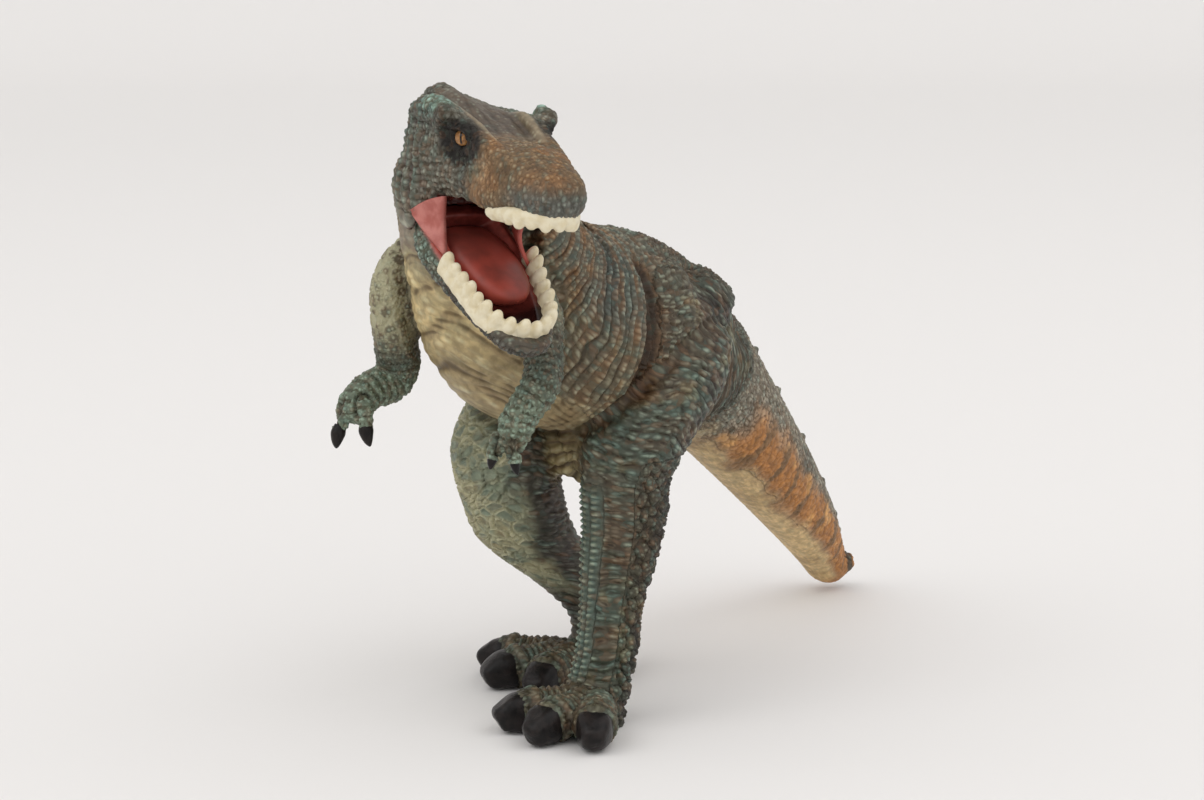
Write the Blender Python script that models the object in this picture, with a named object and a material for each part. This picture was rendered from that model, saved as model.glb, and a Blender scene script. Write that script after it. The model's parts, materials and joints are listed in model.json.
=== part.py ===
"""Painted toy dinosaur: a two-legged meat-eater in mid stride, head turned, jaws open.

Every casting is a loft of oval rings along a spine. The frame is in metres with +Z up,
-Y the way the body faces, and the origin on the ground under the middle of the figure.
"""

from math import cos, pi, radians, sin

import bmesh
import bpy
from mathutils import Matrix, Vector

# Overall sizes
BODY_LENGTH = 0.150      # nape to tail tip, measured along the ground
BACK_HEIGHT = 0.100      # the height that the stations of the spine and legs are shares of
TORSO_WIDTH = 0.042
TORSO_DEPTH = 0.044
VENT_RADIUS = 0.0095      # the swelling between the legs
ORIGIN_X = -0.0035          # from the frame's origin to the line that the spine starts on
ORIGIN_Y = -0.0068

# Joins between castings
GAP = 0.0003             # clearance at every glued or running face
SOCKET_GAP = 0.0004      # the same round a leg or an arm, whose sides curve
PEG_RADIUS = 0.005
PEG_LENGTH = 0.007

# Head
HEAD_LENGTH = 0.034      # jaw hinge to snout tip
HEAD_WIDTH = 0.024
HEAD_HEIGHT = 0.024
HEAD_YAW = radians(67.0)     # turned to the figure's own left
HEAD_PITCH = radians(-1.0)
HEAD_ROLL = radians(-4.5)
EYE_RADIUS = 0.0018
BROW_HORN_RADIUS = 0.0026
LINING_THICKNESS = 0.0012
TOOTH_RIDGE_WIDTH = 0.0024
UPPER_TOOTH_HEIGHT = 0.0021
LOWER_TOOTH_HEIGHT = 0.0034

# Lower jaw
JAW_LENGTH = 0.0345
JAW_WIDTH = 0.021
JAW_DEPTH = 0.0090
TONGUE_LENGTH = 0.019
TONGUE_WIDTH = 0.0085
TONGUE_DEPTH = 0.0028
GAPE = radians(35.0)     # how far the jaw hangs open at rest
CLOSING = radians(22.0)  # how far it swings shut from there
PIN_RADIUS = 0.0010
PIN_LENGTH = 0.0190
RUNNING_GAP = 0.00008    # between the pin and the jaw that turns on it
KNUCKLE_RADIUS = 0.0040
KNUCKLE_LENGTH = 0.0150

# Legs
HIP_SPREAD = 0.025       # across, from one hip to the other
LEG_WIDTH = 0.022
LEG_DEPTH = 0.030
STANCE = 0.0215          # across, from one foot's centre to the other's
STRIDE = 0.025           # how far the left foot stands ahead of the right
TOE_LENGTH = 0.0135
TOE_WIDTH = 0.0080
TOE_DEPTH = 0.0085
CLAW_LENGTH = 0.0065
DEWCLAW_LENGTH = 0.0050
DEWCLAW_WIDTH = 0.0030

# Arms
ARM_LENGTH = 0.034
ARM_WIDTH = 0.012
FINGER_LENGTH = 0.0038
FINGER_WIDTH = 0.0040
FINGER_CLAW_LENGTH = 0.0034

RING_SIDES = 16
SMALL_RING_SIDES = 12
BALL_RINGS = 8
STEPS = 2                # rings made between two rows of a table
ACROSS = Vector((1, 0, 0))
SIDEWAYS = Vector((0, 1, 0))
DOWN = Vector((0, 0, -1))

# Spine from skull to tail tip: sideways (torso width), back (body length), up (back height),
# half width (torso width), half depth (torso depth)
SPINE_SHARES = (
    (0.02, -0.373, 1.09, 0.25, 0.25),
    (-0.02, -0.333, 1.01, 0.34, 0.31),
    (-0.02, -0.287, 0.91, 0.41, 0.38),
    (0.00, -0.233, 0.80, 0.47, 0.46),
    (0.03, -0.160, 0.755, 0.49, 0.46),
    (0.08, -0.053, 0.735, 0.44, 0.42),
    (0.11, 0.040, 0.69, 0.375, 0.37),
    (0.13, 0.133, 0.60, 0.30, 0.31),
    (0.15, 0.247, 0.455, 0.245, 0.26),
    (0.14, 0.360, 0.315, 0.20, 0.215),
    (0.10, 0.467, 0.185, 0.16, 0.165),
    (0.05, 0.533, 0.105, 0.129, 0.127),
    (0.05, 0.560, 0.062, 0.11, 0.105),
    (0.08, 0.580, 0.058, 0.081, 0.077),
    (0.13, 0.597, 0.062, 0.038, 0.036),
)
NECK_SEAM_ROW = 1.3
VENT_SHARES = (0.035, -0.14, 0.535)      # in back heights
TAIL_SEAM_ROW = 7.0

# Skull and snout, in the head's frame: forward (head length), sideways (head width),
# up (head height), half width (head width), half height (head height)
SKULL_SHARES = (
    (-0.240, 0, 0.58, 0.25, 0.26),
    (-0.176, 0, 0.56, 0.370, 0.410),
    (-0.060, 0, 0.54, 0.45, 0.480),
    (0.090, 0, 0.500, 0.483, 0.450),
    (0.235, 0, 0.440, 0.45, 0.375),
    (0.382, 0, 0.400, 0.358, 0.300),
    (0.530, 0, 0.375, 0.300, 0.270),
    (0.676, 0, 0.360, 0.290, 0.260),
    (0.824, 0, 0.335, 0.285, 0.255),
    (0.926, 0, 0.315, 0.250, 0.215),
    (0.988, 0, 0.295, 0.170, 0.140),
    (1.012, 0, 0.285, 0.067, 0.060),
)
SKULL_SQUARENESS = 2.4
NAPE_SHARES = (-0.12, 0.07, 0.36)       # the spine's start from the hinge, in head sizes
PALATE_SHARES = ((0.09, 0.08), (0.35, 0.145), (1.10, 0.145))
LINING_SHARES = (
    (0.24, 0, 0.095, 0.26, 0.5),
    (0.42, 0, 0.140, 0.20, 0.5),
    (0.70, 0, 0.140, 0.17, 0.5),
    (0.84, 0, 0.140, 0.10, 0.5),
)
EYE_SHARES = (0.33, 0.335, 0.65)
BROW_ROOT_SHARES = (0.27, 0.33, 0.58)
BROW_TIP_SHARES = (0.30, 0.45, 0.88)

# Lower jaw, in the jaw's frame, with its own length, width and depth
JAW_SHARES = (
    (-0.06, 0, -0.15, 0.34, 0.38),
    (0.03, 0, -0.20, 0.44, 0.47),
    (0.15, 0, -0.28, 0.485, 0.51),
    (0.35, 0, -0.31, 0.457, 0.47),
    (0.58, 0, -0.25, 0.40, 0.37),
    (0.78, 0, -0.20, 0.343, 0.30),
    (0.90, 0, -0.18, 0.28, 0.27),
    (0.97, 0, -0.16, 0.19, 0.23),
    (1.00, 0, -0.16, 0.095, 0.11),
)
JAW_SQUARENESS = 2.6
TROUGH_SHARES = (
    (0.12, 0, 0.28, 0.30, 0.42),
    (0.35, 0, 0.28, 0.31, 0.42),
    (0.58, 0, 0.28, 0.26, 0.42),
    (0.78, 0, 0.28, 0.20, 0.42),
    (0.88, 0, 0.28, 0.13, 0.40),
)
TONGUE_ROOT_SHARES = (0.16, -0.10)      # forward and up in the jaw
TONGUE_SHARES = (
    (0.00, 0, 0.5, 0.30, 0.30),
    (0.20, 0, 0.6, 0.46, 0.45),
    (0.60, 0, 0.7, 0.50, 0.50),
    (0.88, 0, 0.8, 0.42, 0.45),
    (1.00, 0, 0.8, 0.20, 0.20),
)
# A row of teeth: straight sides, then half an oval round the front, as forward and sideways
UPPER_ARCH_SHARES = {"rear": 0.58, "bend": 0.74, "front": 0.97, "half": 0.25, "rear_half": 0.285}
LOWER_ARCH_SHARES = {"rear": 0.35, "bend": 0.68, "front": 0.93, "half": 0.31, "rear_half": 0.385}
UPPER_TOOTH_COUNT = 18
LOWER_TOOTH_COUNT = 22
TOOTH_STEPS = 4          # stations along one tooth
TOOTH_SEAT_SHARE = 0.145     # the teeth's root line in the head, up the head's height
LOWER_SEAT_SHARE = 0.10      # the same in the jaw, up the jaw's depth

# Legs from hip to foot: how far down the way from the hip's place to the foot's, then
# sideways (leg width), back (leg depth), up (back height), half width, half depth
LEFT_LEG_SHARES = (
    (0.00, -0.136, 0.10, 0.76, 0.28, 0.30),
    (0.08, -0.05, 0.10, 0.71, 0.42, 0.46),
    (0.22, -0.03, 0.02, 0.62, 0.49, 0.53),
    (0.35, -0.08, -0.05, 0.54, 0.455, 0.45),
    (0.45, -0.086, -0.10, 0.46, 0.377, 0.32),
    (0.55, -0.08, -0.017, 0.38, 0.35, 0.293),
    (0.65, -0.06, -0.017, 0.30, 0.318, 0.247),
    (0.75, -0.02, -0.05, 0.22, 0.268, 0.19),
    (0.85, 0.00, -0.03, 0.14, 0.273, 0.18),
    (0.93, -0.04, 0.000, 0.08, 0.290, 0.180),
    (1.00, -0.07, 0.030, 0.03, 0.300, 0.190),
    (1.00, -0.07, 0.030, -0.02, 0.280, 0.175),
)
RIGHT_LEG_SHARES = (
    (0.00, 0.08, 0.033, 0.76, 0.27, 0.28),
    (0.10, -0.06, -0.117, 0.69, 0.42, 0.43),
    (0.22, -0.127, -0.397, 0.60, 0.455, 0.46),
    (0.35, -0.19, -0.57, 0.52, 0.46, 0.42),
    (0.45, -0.22, -0.55, 0.45, 0.45, 0.39),
    (0.55, -0.25, -0.45, 0.385, 0.43, 0.37),
    (0.65, -0.28, -0.32, 0.325, 0.42, 0.37),
    (0.75, -0.26, -0.15, 0.275, 0.385, 0.35),
    (0.85, -0.18, 0.08, 0.215, 0.335, 0.31),
    (0.93, 0.01, 0.20, 0.14, 0.250, 0.21),
    (0.97, 0.07, 0.19, 0.08, 0.250, 0.19),
    (1.00, 0.00, 0.10, 0.03, 0.355, 0.22),
    (1.00, 0.00, 0.10, -0.02, 0.332, 0.207),
)
HIP_BACK_SHARE = -0.027              # the hips' place along the body
HIP_SIDE_SHARE = 0.09                # and to the figure's left of the spine's start
FOOT_BACK_SHARE = -0.143
FOOT_SIDE_SHARE = 0.137
LEFT_TOE_TURNS = {"inner": radians(-42), "middle": radians(-6), "outer": radians(31)}
RIGHT_TOE_TURNS = {"inner": radians(8), "middle": radians(-32), "outer": radians(-70)}
# A toe and its claw: forward (toe length), up (toe depth), half width, half depth
TOE_SHARES = (
    (0.05, 0.50, 0.42, 0.46),
    (0.35, 0.52, 0.48, 0.50),
    (0.70, 0.50, 0.49, 0.48),
    (0.90, 0.47, 0.45, 0.45),
    (1.00, 0.46, 0.43, 0.43),
)
CLAW_SHARES = (
    (0.00, 0.46, 0.43, 0.43),
    (0.35, 0.45, 0.42, 0.42),
    (0.70, 0.38, 0.34, 0.34),
    (0.92, 0.30, 0.22, 0.22),
    (1.00, 0.26, 0.10, 0.10),
)
DEWCLAW_PLACE_SHARES = {"left": (0.02, 0.25, 0.15), "right": (0.04, 0.405, 0.15)}

# Arms, from the shoulder, all in arm lengths and widths
ARM_SHARES = {
    "left": (
        (-0.120, 0.100, 0.200, 0.36, 0.40),
        (0.00, 0.00, 0.00, 0.43, 0.50),
        (0.132, -0.103, -0.19, 0.37, 0.40),
        (0.185, -0.176, -0.34, 0.34, 0.35),
        (0.185, -0.235, -0.426, 0.325, 0.325),
        (0.112, -0.294, -0.535, 0.30, 0.30),
        (0.07, -0.338, -0.632, 0.285, 0.27),
        (0.047, -0.368, -0.72, 0.26, 0.225),
    ),
    "right": (
        (0.130, 0.059, 0.230, 0.36, 0.42),
        (-0.005, 0.00, 0.00, 0.45, 0.55),
        (-0.064, 0.03, -0.31, 0.38, 0.45),
        (-0.122, 0.103, -0.50, 0.35, 0.36),
        (-0.152, 0.059, -0.59, 0.34, 0.34),
        (-0.186, -0.088, -0.62, 0.31, 0.30),
        (-0.205, -0.19, -0.69, 0.31, 0.27),
        (-0.21, -0.25, -0.765, 0.27, 0.22),
    ),
}
SHOULDER_SHARES = {"left": (0.333, -0.333, 0.84), "right": (-0.452, -0.313, 0.85)}
# Fingers: where they leave the hand's end and which way they point, in arm lengths
FINGER_SHARES = {
    "left": {"first": ((-0.038, -0.012, 0.045), (-0.25, -0.3, -1.0)),
             "second": ((0.040, -0.01, 0.035), (0.20, -0.1, -1.0))},
    "right": {"first": ((-0.03, 0.00, 0.045), (-0.15, -0.3, -1.0)),
              "second": ((0.10, 0.015, 0.075), (0.20, -0.15, -1.0))},
}

# Paint: base colour and roughness
SKIN = ((0.10, 0.14, 0.11), 0.55)
HORN = ((0.02, 0.015, 0.02), 0.25)
IVORY = ((0.78, 0.72, 0.55), 0.35)
FLESH = ((0.30, 0.05, 0.05), 0.22)
AMBER = ((0.55, 0.25, 0.05), 0.15)
STEEL = ((0.35, 0.35, 0.36), 0.35)


def smooth_row(rows, place):
    """The row at a fractional index, on a smooth curve through the table's rows."""
    i = min(int(place), len(rows) - 2)
    t = place - i
    a, b = rows[max(i - 1, 0)], rows[i]
    c, d = rows[i + 1], rows[min(i + 2, len(rows) - 1)]
    return tuple(
        q + ((r - p) * t + (2 * p - 5 * q + 4 * r - s) * t**2 + (3 * q - p - 3 * r + s) * t**3) / 2
        for p, q, r, s in zip(a, b, c, d)
    )


def smooth_rows(rows, start=0.0, stop=None, steps=STEPS):
    """The table's rows with several rings to each, from one fractional index to another."""
    stop = len(rows) - 1 if stop is None else stop
    count = max(1, round((stop - start) * steps))
    return [smooth_row(rows, start + (stop - start) * k / count) for k in range(count + 1)]


def sized(shares, sizes):
    return [tuple(share * size for share, size in zip(row, sizes)) for row in shares]


def moved(rows, place):
    """The same rows with their centres carried by a matrix or a vector."""
    carry = place if isinstance(place, Matrix) else Matrix.Translation(place)
    return [(*(carry @ Vector(row[:3])), *row[3:]) for row in rows]


def signed_power(value, power):
    return abs(value) ** power * (1 if value >= 0 else -1)


def finish(bm, name, parent=None, place=None):
    """Closes the bmesh into an object, with its faces out and shaded smooth."""
    bmesh.ops.recalc_face_normals(bm, faces=bm.faces)
    mesh = bpy.data.meshes.new(name)
    bm.to_mesh(mesh)
    bm.free()
    mesh.shade_smooth()
    obj = bpy.data.objects.new(name, mesh)
    bpy.context.scene.collection.objects.link(obj)
    obj.parent = parent
    obj.matrix_local = place or Matrix()
    return obj


def skin_rings(bm, rings):
    """Faces between rings of equal length, and a face over each end."""
    for first, second in zip(rings, rings[1:]):
        for k in range(len(first)):
            n = (k + 1) % len(first)
            bm.faces.new((first[k], first[n], second[n], second[k]))
    bm.faces.new(rings[0])
    bm.faces.new(rings[-1])


def loft(name, rows, across=ACROSS, sides=RING_SIDES, squareness=2.0, grow=0.0,
         start_cut=0.0, guides=(0, 0), level=False, parent=None, place=None):
    """A closed skin over oval rings: rows of x, y, z, half width and half depth.

    A guide row at either end gives the skin its direction there and gets no ring.
    Level rings lie flat, where the others stand square to the way between their neighbours.
    """
    bm = bmesh.new()
    centres = [Vector(row[:3]) for row in rows]
    rings = []
    first, last = guides[0], len(rows) - 1 - guides[1]
    for i, row in enumerate(rows):
        if not first <= i <= last:
            continue
        along = (centres[min(i + 1, len(rows) - 1)] - centres[max(i - 1, 0)]).normalized()
        along = DOWN if level else along
        side = (across - along * across.dot(along)).normalized()
        rise = side.cross(along)
        centre = centres[i].copy()
        if i == first:
            centre += along * (start_cut - grow)
        if i == last:
            centre += along * grow
        ring = []
        for k in range(sides):
            angle = 2 * pi * k / sides
            out = (row[3] + grow) * signed_power(cos(angle), 2 / squareness)
            up = (row[4] + grow) * signed_power(sin(angle), 2 / squareness)
            ring.append(bm.verts.new(centre + side * out + rise * up))
        rings.append(ring)
    skin_rings(bm, rings)
    return finish(bm, name, parent, place)


def rod(name, start, stop, radius, stop_radius=None, sides=RING_SIDES, parent=None):
    """A round bar, or a cone, between two points."""
    along = Vector(stop) - Vector(start)
    bm = bmesh.new()
    bmesh.ops.create_cone(bm, cap_ends=True, segments=sides, radius1=radius,
                          radius2=stop_radius or radius, depth=along.length)
    turn = along.to_track_quat("Z", "Y").to_matrix().to_4x4()
    middle = Matrix.Translation((Vector(start) + Vector(stop)) / 2)
    return finish(bm, name, parent, middle @ turn)


def ball(name, centre, radius, parent):
    bm = bmesh.new()
    bmesh.ops.create_uvsphere(bm, u_segments=SMALL_RING_SIDES, v_segments=BALL_RINGS, radius=radius)
    return finish(bm, name, parent, Matrix.Translation(centre))


def prism(name, outline, half_width, parent=None):
    """A plate with its outline in the frame's forward and up directions."""
    bm = bmesh.new()
    rings = [[bm.verts.new((x, side * half_width, z)) for x, z in outline] for side in (-1, 1)]
    skin_rings(bm, rings)
    return finish(bm, name, parent)


def apply_boolean(target, tool, operation):
    """Joins or cuts the tool's solid and removes the tool."""
    modifier = target.modifiers.new(operation.lower(), "BOOLEAN")
    modifier.operation = operation
    modifier.object = tool
    bpy.context.view_layer.update()
    graph = bpy.context.evaluated_depsgraph_get()
    mesh = bpy.data.meshes.new_from_object(target.evaluated_get(graph))
    target.modifiers.clear()
    target.data = mesh
    bpy.data.objects.remove(tool, do_unlink=True)
    mesh.name = target.name


def join(target, *tools):
    for tool in tools:
        apply_boolean(target, tool, "UNION")


def cut(target, *tools):
    for tool in tools:
        apply_boolean(target, tool, "DIFFERENCE")


def paint(obj, finish_of):
    colour, roughness = finish_of
    material = bpy.data.materials.new(obj.name)
    material.use_nodes = True
    shader = material.node_tree.nodes["Principled BSDF"]
    shader.inputs["Base Color"].default_value = (*colour, 1)
    shader.inputs["Roughness"].default_value = roughness
    obj.data.materials.clear()
    obj.data.materials.append(material)


def empty(name, place, parent=None):
    obj = bpy.data.objects.new(name, None)
    bpy.context.scene.collection.objects.link(obj)
    obj.parent = parent
    obj.matrix_local = place
    return obj


def spine_rows(start, stop):
    """The spine's rows between two places, with a guide row past each seam."""
    sizes = (TORSO_WIDTH, BODY_LENGTH, BACK_HEIGHT, TORSO_WIDTH, TORSO_DEPTH)
    last = len(SPINE_SHARES) - 1
    stations = sized(SPINE_SHARES, sizes)
    rows = smooth_rows(stations, start, stop)
    if start > 0:
        rows.insert(0, smooth_row(stations, start - 1 / STEPS))
    if stop < last:
        rows.append(smooth_row(stations, stop + 1 / STEPS))
    return moved(rows, Vector((ORIGIN_X, ORIGIN_Y, 0)))


def seam_peg(name, seam_row, inward, grow=0.0):
    """The round peg that a casting pushes into its neighbour, through the seam at this place."""
    before, seam, after = (Vector(row[:3]) for row in spine_rows(seam_row - 1 / STEPS, seam_row)[-3:])
    along = (after - before).normalized() * inward
    return rod(name, seam - along * PEG_LENGTH, seam + along * (PEG_LENGTH + grow), PEG_RADIUS + grow)


def head_place():
    """The head's frame: forward along X, its left along Y, with its origin on the jaw hinge."""
    turn = Matrix.Rotation(HEAD_YAW - pi / 2, 4, "Z")
    turn = turn @ Matrix.Rotation(-HEAD_PITCH, 4, "Y") @ Matrix.Rotation(HEAD_ROLL, 4, "X")
    nape = Vector(spine_rows(0, 1)[0][:3])
    sizes = Vector((HEAD_LENGTH, HEAD_WIDTH, HEAD_HEIGHT))
    hinge = nape - turn @ (Vector(NAPE_SHARES) * sizes)
    return Matrix.Translation(hinge) @ turn


def head_point(shares, side=1):
    return Vector((shares[0] * HEAD_LENGTH, side * shares[1] * HEAD_WIDTH, shares[2] * HEAD_HEIGHT))


def skull_rows():
    sizes = (HEAD_LENGTH, HEAD_WIDTH, HEAD_HEIGHT, HEAD_WIDTH, HEAD_HEIGHT)
    return smooth_rows(sized(SKULL_SHARES, sizes), steps=2)


def jaw_rows(shares):
    sizes = (JAW_LENGTH, JAW_WIDTH, JAW_DEPTH, JAW_WIDTH, JAW_DEPTH)
    return smooth_rows(sized(shares, sizes), steps=2)


def jaw_block(name, pivot, grow=0.0):
    """The jaw's outside, without its knuckle."""
    return loft(name, jaw_rows(JAW_SHARES), SIDEWAYS, squareness=JAW_SQUARENESS, grow=grow, parent=pivot)


def knuckle(name, parent, grow=0.0):
    """The round part of the jaw that the hinge pin runs through."""
    half = Vector((0, KNUCKLE_LENGTH / 2 + grow, 0))
    return rod(name, -half, half, KNUCKLE_RADIUS + grow, parent=parent)


def tooth_row(name, arch, length, width, seat, height, count, parent):
    """A ridge of teeth that follows the mouth's edge, rising and falling once for each tooth."""
    rear, bend, front = (arch[key] * length for key in ("rear", "bend", "front"))
    half, rear_half = arch["half"] * width, arch["rear_half"] * width
    steps = count * TOOTH_STEPS
    path = []
    for k in range(steps + 1):
        turn = 2 * k / steps - 1
        straight = max(0.0, abs(turn) * 2 - 1)
        angle = max(-1.0, min(1.0, turn * 2)) * pi / 2
        x = bend + (front - bend) * cos(angle) - (bend - rear) * straight
        y = half * sin(angle) + (rear_half - half) * straight * (1 if turn > 0 else -1)
        path.append(Vector((x, y, 0)))
    bm = bmesh.new()
    rings = []
    for k, point in enumerate(path):
        along = (path[min(k + 1, steps)] - path[max(k - 1, 0)]).normalized()
        out = Vector((along.y, -along.x, 0)) * TOOTH_RIDGE_WIDTH / 2
        arc = sin(pi * (k % TOOTH_STEPS) / TOOTH_STEPS)
        crown = Vector((0, 0, height * (2 + arc) / 3))
        root = point + Vector((0, 0, seat))
        ring = (root + out, root + out / 2 + crown, root - out / 2 + crown, root - out)
        rings.append([bm.verts.new(corner) for corner in ring])
    skin_rings(bm, rings)
    return finish(bm, name, parent)


def make_lower_jaw(pivot):
    jaw = jaw_block("lower_jaw", pivot)
    join(jaw, knuckle("knuckle", pivot))
    cut(jaw, loft("trough", jaw_rows(TROUGH_SHARES), SIDEWAYS, squareness=JAW_SQUARENESS, parent=pivot))
    bore_half = Vector((0, KNUCKLE_LENGTH, 0))
    cut(jaw, rod("bore", -bore_half, bore_half, PIN_RADIUS + RUNNING_GAP, parent=pivot))
    seat = LOWER_SEAT_SHARE * JAW_DEPTH
    rim = [(0, seat - GAP), (0, JAW_DEPTH), (JAW_LENGTH * 2, JAW_DEPTH), (JAW_LENGTH * 2, seat - GAP)]
    rear = LOWER_ARCH_SHARES["rear"] * JAW_LENGTH - TOOTH_RIDGE_WIDTH
    cut(jaw, prism("rim", [(max(x, rear), z) for x, z in rim], JAW_WIDTH, pivot))
    paint(jaw, SKIN)
    teeth = tooth_row("lower_teeth", LOWER_ARCH_SHARES, JAW_LENGTH, JAW_WIDTH, seat,
                      LOWER_TOOTH_HEIGHT, LOWER_TOOTH_COUNT, pivot)
    paint(teeth, IVORY)
    root = Vector((TONGUE_ROOT_SHARES[0] * JAW_LENGTH, 0, TONGUE_ROOT_SHARES[1] * JAW_DEPTH))
    sizes = (TONGUE_LENGTH, TONGUE_WIDTH, TONGUE_DEPTH, TONGUE_WIDTH, TONGUE_DEPTH)
    rows = moved(smooth_rows(sized(TONGUE_SHARES, sizes), steps=2), root)
    paint(loft("tongue", rows, SIDEWAYS, sides=SMALL_RING_SIDES, parent=pivot), FLESH)


def make_head(head, pivot):
    skull = loft("head_and_neck", skull_rows(), SIDEWAYS, squareness=SKULL_SQUARENESS, parent=head)
    for side in (-1, 1):
        root, tip = head_point(BROW_ROOT_SHARES, side), head_point(BROW_TIP_SHARES, side)
        join(skull, rod("brow", root, tip, BROW_HORN_RADIUS, BROW_HORN_RADIUS / 2,
                        SMALL_RING_SIDES, head))
    join(skull, loft("neck", spine_rows(0, NECK_SEAM_ROW), guides=(0, 1)), seam_peg("peg", NECK_SEAM_ROW, 1))
    top = [(x * HEAD_LENGTH, z * HEAD_HEIGHT) for x, z in PALATE_SHARES]
    floor = [(x, z - HEAD_HEIGHT) for x, z in top[::-1]]
    cut(skull, prism("mouth", top + floor, JAW_WIDTH / 2 + GAP, head))
    resting = pivot.matrix_local.copy()
    swings = 4
    for k in range(swings + 1):
        pivot.matrix_local = resting @ Matrix.Rotation(-CLOSING * k / swings, 4, "Y")
        cut(skull, jaw_block("swing", pivot, GAP))
    pivot.matrix_local = resting
    cut(skull, knuckle("knuckle_seat", head, GAP), shoulder_socket("right"))
    half = Vector((0, PIN_LENGTH / 2, 0))
    cut(skull, rod("pin_hole", -half - half * GAP / half.y, half + half * GAP / half.y,
                   PIN_RADIUS + GAP, parent=head))
    paint(rod("jaw_hinge_pin", -half, half, PIN_RADIUS, sides=SMALL_RING_SIDES, parent=head), STEEL)
    for side, name in ((1, "left_eye"), (-1, "right_eye")):
        centre = head_point(EYE_SHARES, side)
        cut(skull, ball("socket", centre, EYE_RADIUS + GAP, head))
        paint(ball(name, centre, EYE_RADIUS, head), AMBER)
    paint(skull, SKIN)
    seat = TOOTH_SEAT_SHARE * HEAD_HEIGHT - GAP
    teeth = tooth_row("upper_teeth", UPPER_ARCH_SHARES, HEAD_LENGTH, HEAD_WIDTH, -seat,
                      UPPER_TOOTH_HEIGHT, UPPER_TOOTH_COUNT, head)
    teeth.matrix_local = Matrix.Rotation(pi, 4, "X")
    paint(teeth, IVORY)
    sizes = (HEAD_LENGTH, HEAD_WIDTH, HEAD_HEIGHT, HEAD_WIDTH, LINING_THICKNESS)
    rows = moved(smooth_rows(sized(LINING_SHARES, sizes), steps=2), Vector((0, 0, -LINING_THICKNESS / 2 - GAP)))
    paint(loft("mouth_lining", rows, SIDEWAYS, sides=SMALL_RING_SIDES, parent=head), FLESH)


def leg_rows(shares, side):
    hip = Vector((HIP_SIDE_SHARE * TORSO_WIDTH + side * HIP_SPREAD / 2, HIP_BACK_SHARE * BODY_LENGTH, 0))
    foot = foot_centre(side)
    rows = []
    for down, across, back, up, wide, deep in shares:
        middle = hip.lerp(foot, down)
        rows.append((middle.x + across * LEG_WIDTH, middle.y + back * LEG_DEPTH, up * BACK_HEIGHT,
                     wide * LEG_WIDTH, deep * LEG_DEPTH))
    return moved(smooth_rows(rows), Vector((ORIGIN_X, ORIGIN_Y, 0)))


def foot_centre(side):
    """Where the toes meet, with side 1 the left and -1 the right."""
    middle = Vector((FOOT_SIDE_SHARE * TORSO_WIDTH, FOOT_BACK_SHARE * BODY_LENGTH, 0))
    return middle + Vector((side * STANCE, -side * STRIDE, 0)) / 2


def toe_place(side, turn):
    carry = Matrix.Translation(foot_centre(side) + Vector((ORIGIN_X, ORIGIN_Y, 0)))
    return carry @ Matrix.Rotation(turn - pi / 2, 4, "Z")


def toe_rows(shares, length, start=0.0):
    rows = sized(shares, (length, TOE_DEPTH, TOE_WIDTH, TOE_DEPTH))
    return smooth_rows([(x + start, 0, z, wide, deep) for x, z, wide, deep in rows], steps=2)


def ground_block(name):
    """Everything under the ground, for cutting soles flat."""
    far = BODY_LENGTH
    bm = bmesh.new()
    rings = [[bm.verts.new((x, y, z)) for x, y in ((-far, -far), (far, -far), (far, far), (-far, far))]
             for z in (-far, 0)]
    skin_rings(bm, rings)
    return finish(bm, name)


def make_leg(name, shares, side, toe_turns):
    leg = loft(name + "_leg", leg_rows(shares, side), level=True)
    for toe, turn in toe_turns.items():
        place = toe_place(side, turn)
        join(leg, loft("toe", toe_rows(TOE_SHARES, TOE_LENGTH), SIDEWAYS, place=place))
        claw = loft(f"{name}_{toe}_toe_claw", toe_rows(CLAW_SHARES, CLAW_LENGTH, TOE_LENGTH), SIDEWAYS,
                    SMALL_RING_SIDES, start_cut=GAP, place=place)
        paint(claw, HORN)
    across, back, up = DEWCLAW_PLACE_SHARES[name]
    foot = foot_centre(side) + Vector((ORIGIN_X + across * LEG_WIDTH, ORIGIN_Y + back * LEG_DEPTH,
                                       up * BACK_HEIGHT))
    drop = Vector((0, DEWCLAW_LENGTH / 3, -DEWCLAW_LENGTH))
    radius = DEWCLAW_WIDTH / 2
    inside = foot - Vector((0, DEWCLAW_LENGTH, 0))
    join(leg, rod("spur", inside, foot, radius, sides=SMALL_RING_SIDES))
    start = foot + Vector((0, radius, radius))
    paint(rod(name + "_dewclaw", start, start + drop, radius, radius / 3, SMALL_RING_SIDES), HORN)
    cut(leg, rod("dewclaw_seat", start - drop * GAP / DEWCLAW_LENGTH, start + drop, radius + GAP,
                 sides=SMALL_RING_SIDES))
    cut(leg, ground_block("ground"))
    paint(leg, SKIN)


def arm_rows(name):
    across, back, up = SHOULDER_SHARES[name]
    shoulder = Vector((ORIGIN_X + across * TORSO_WIDTH, ORIGIN_Y + back * BODY_LENGTH, up * BACK_HEIGHT))
    sizes = (ARM_LENGTH, ARM_LENGTH, ARM_LENGTH, ARM_WIDTH, ARM_WIDTH)
    return moved(smooth_rows(sized(ARM_SHARES[name], sizes)), shoulder)


def shoulder_socket(name):
    return loft("shoulder_socket", arm_rows(name), sides=SMALL_RING_SIDES, grow=SOCKET_GAP)


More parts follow.
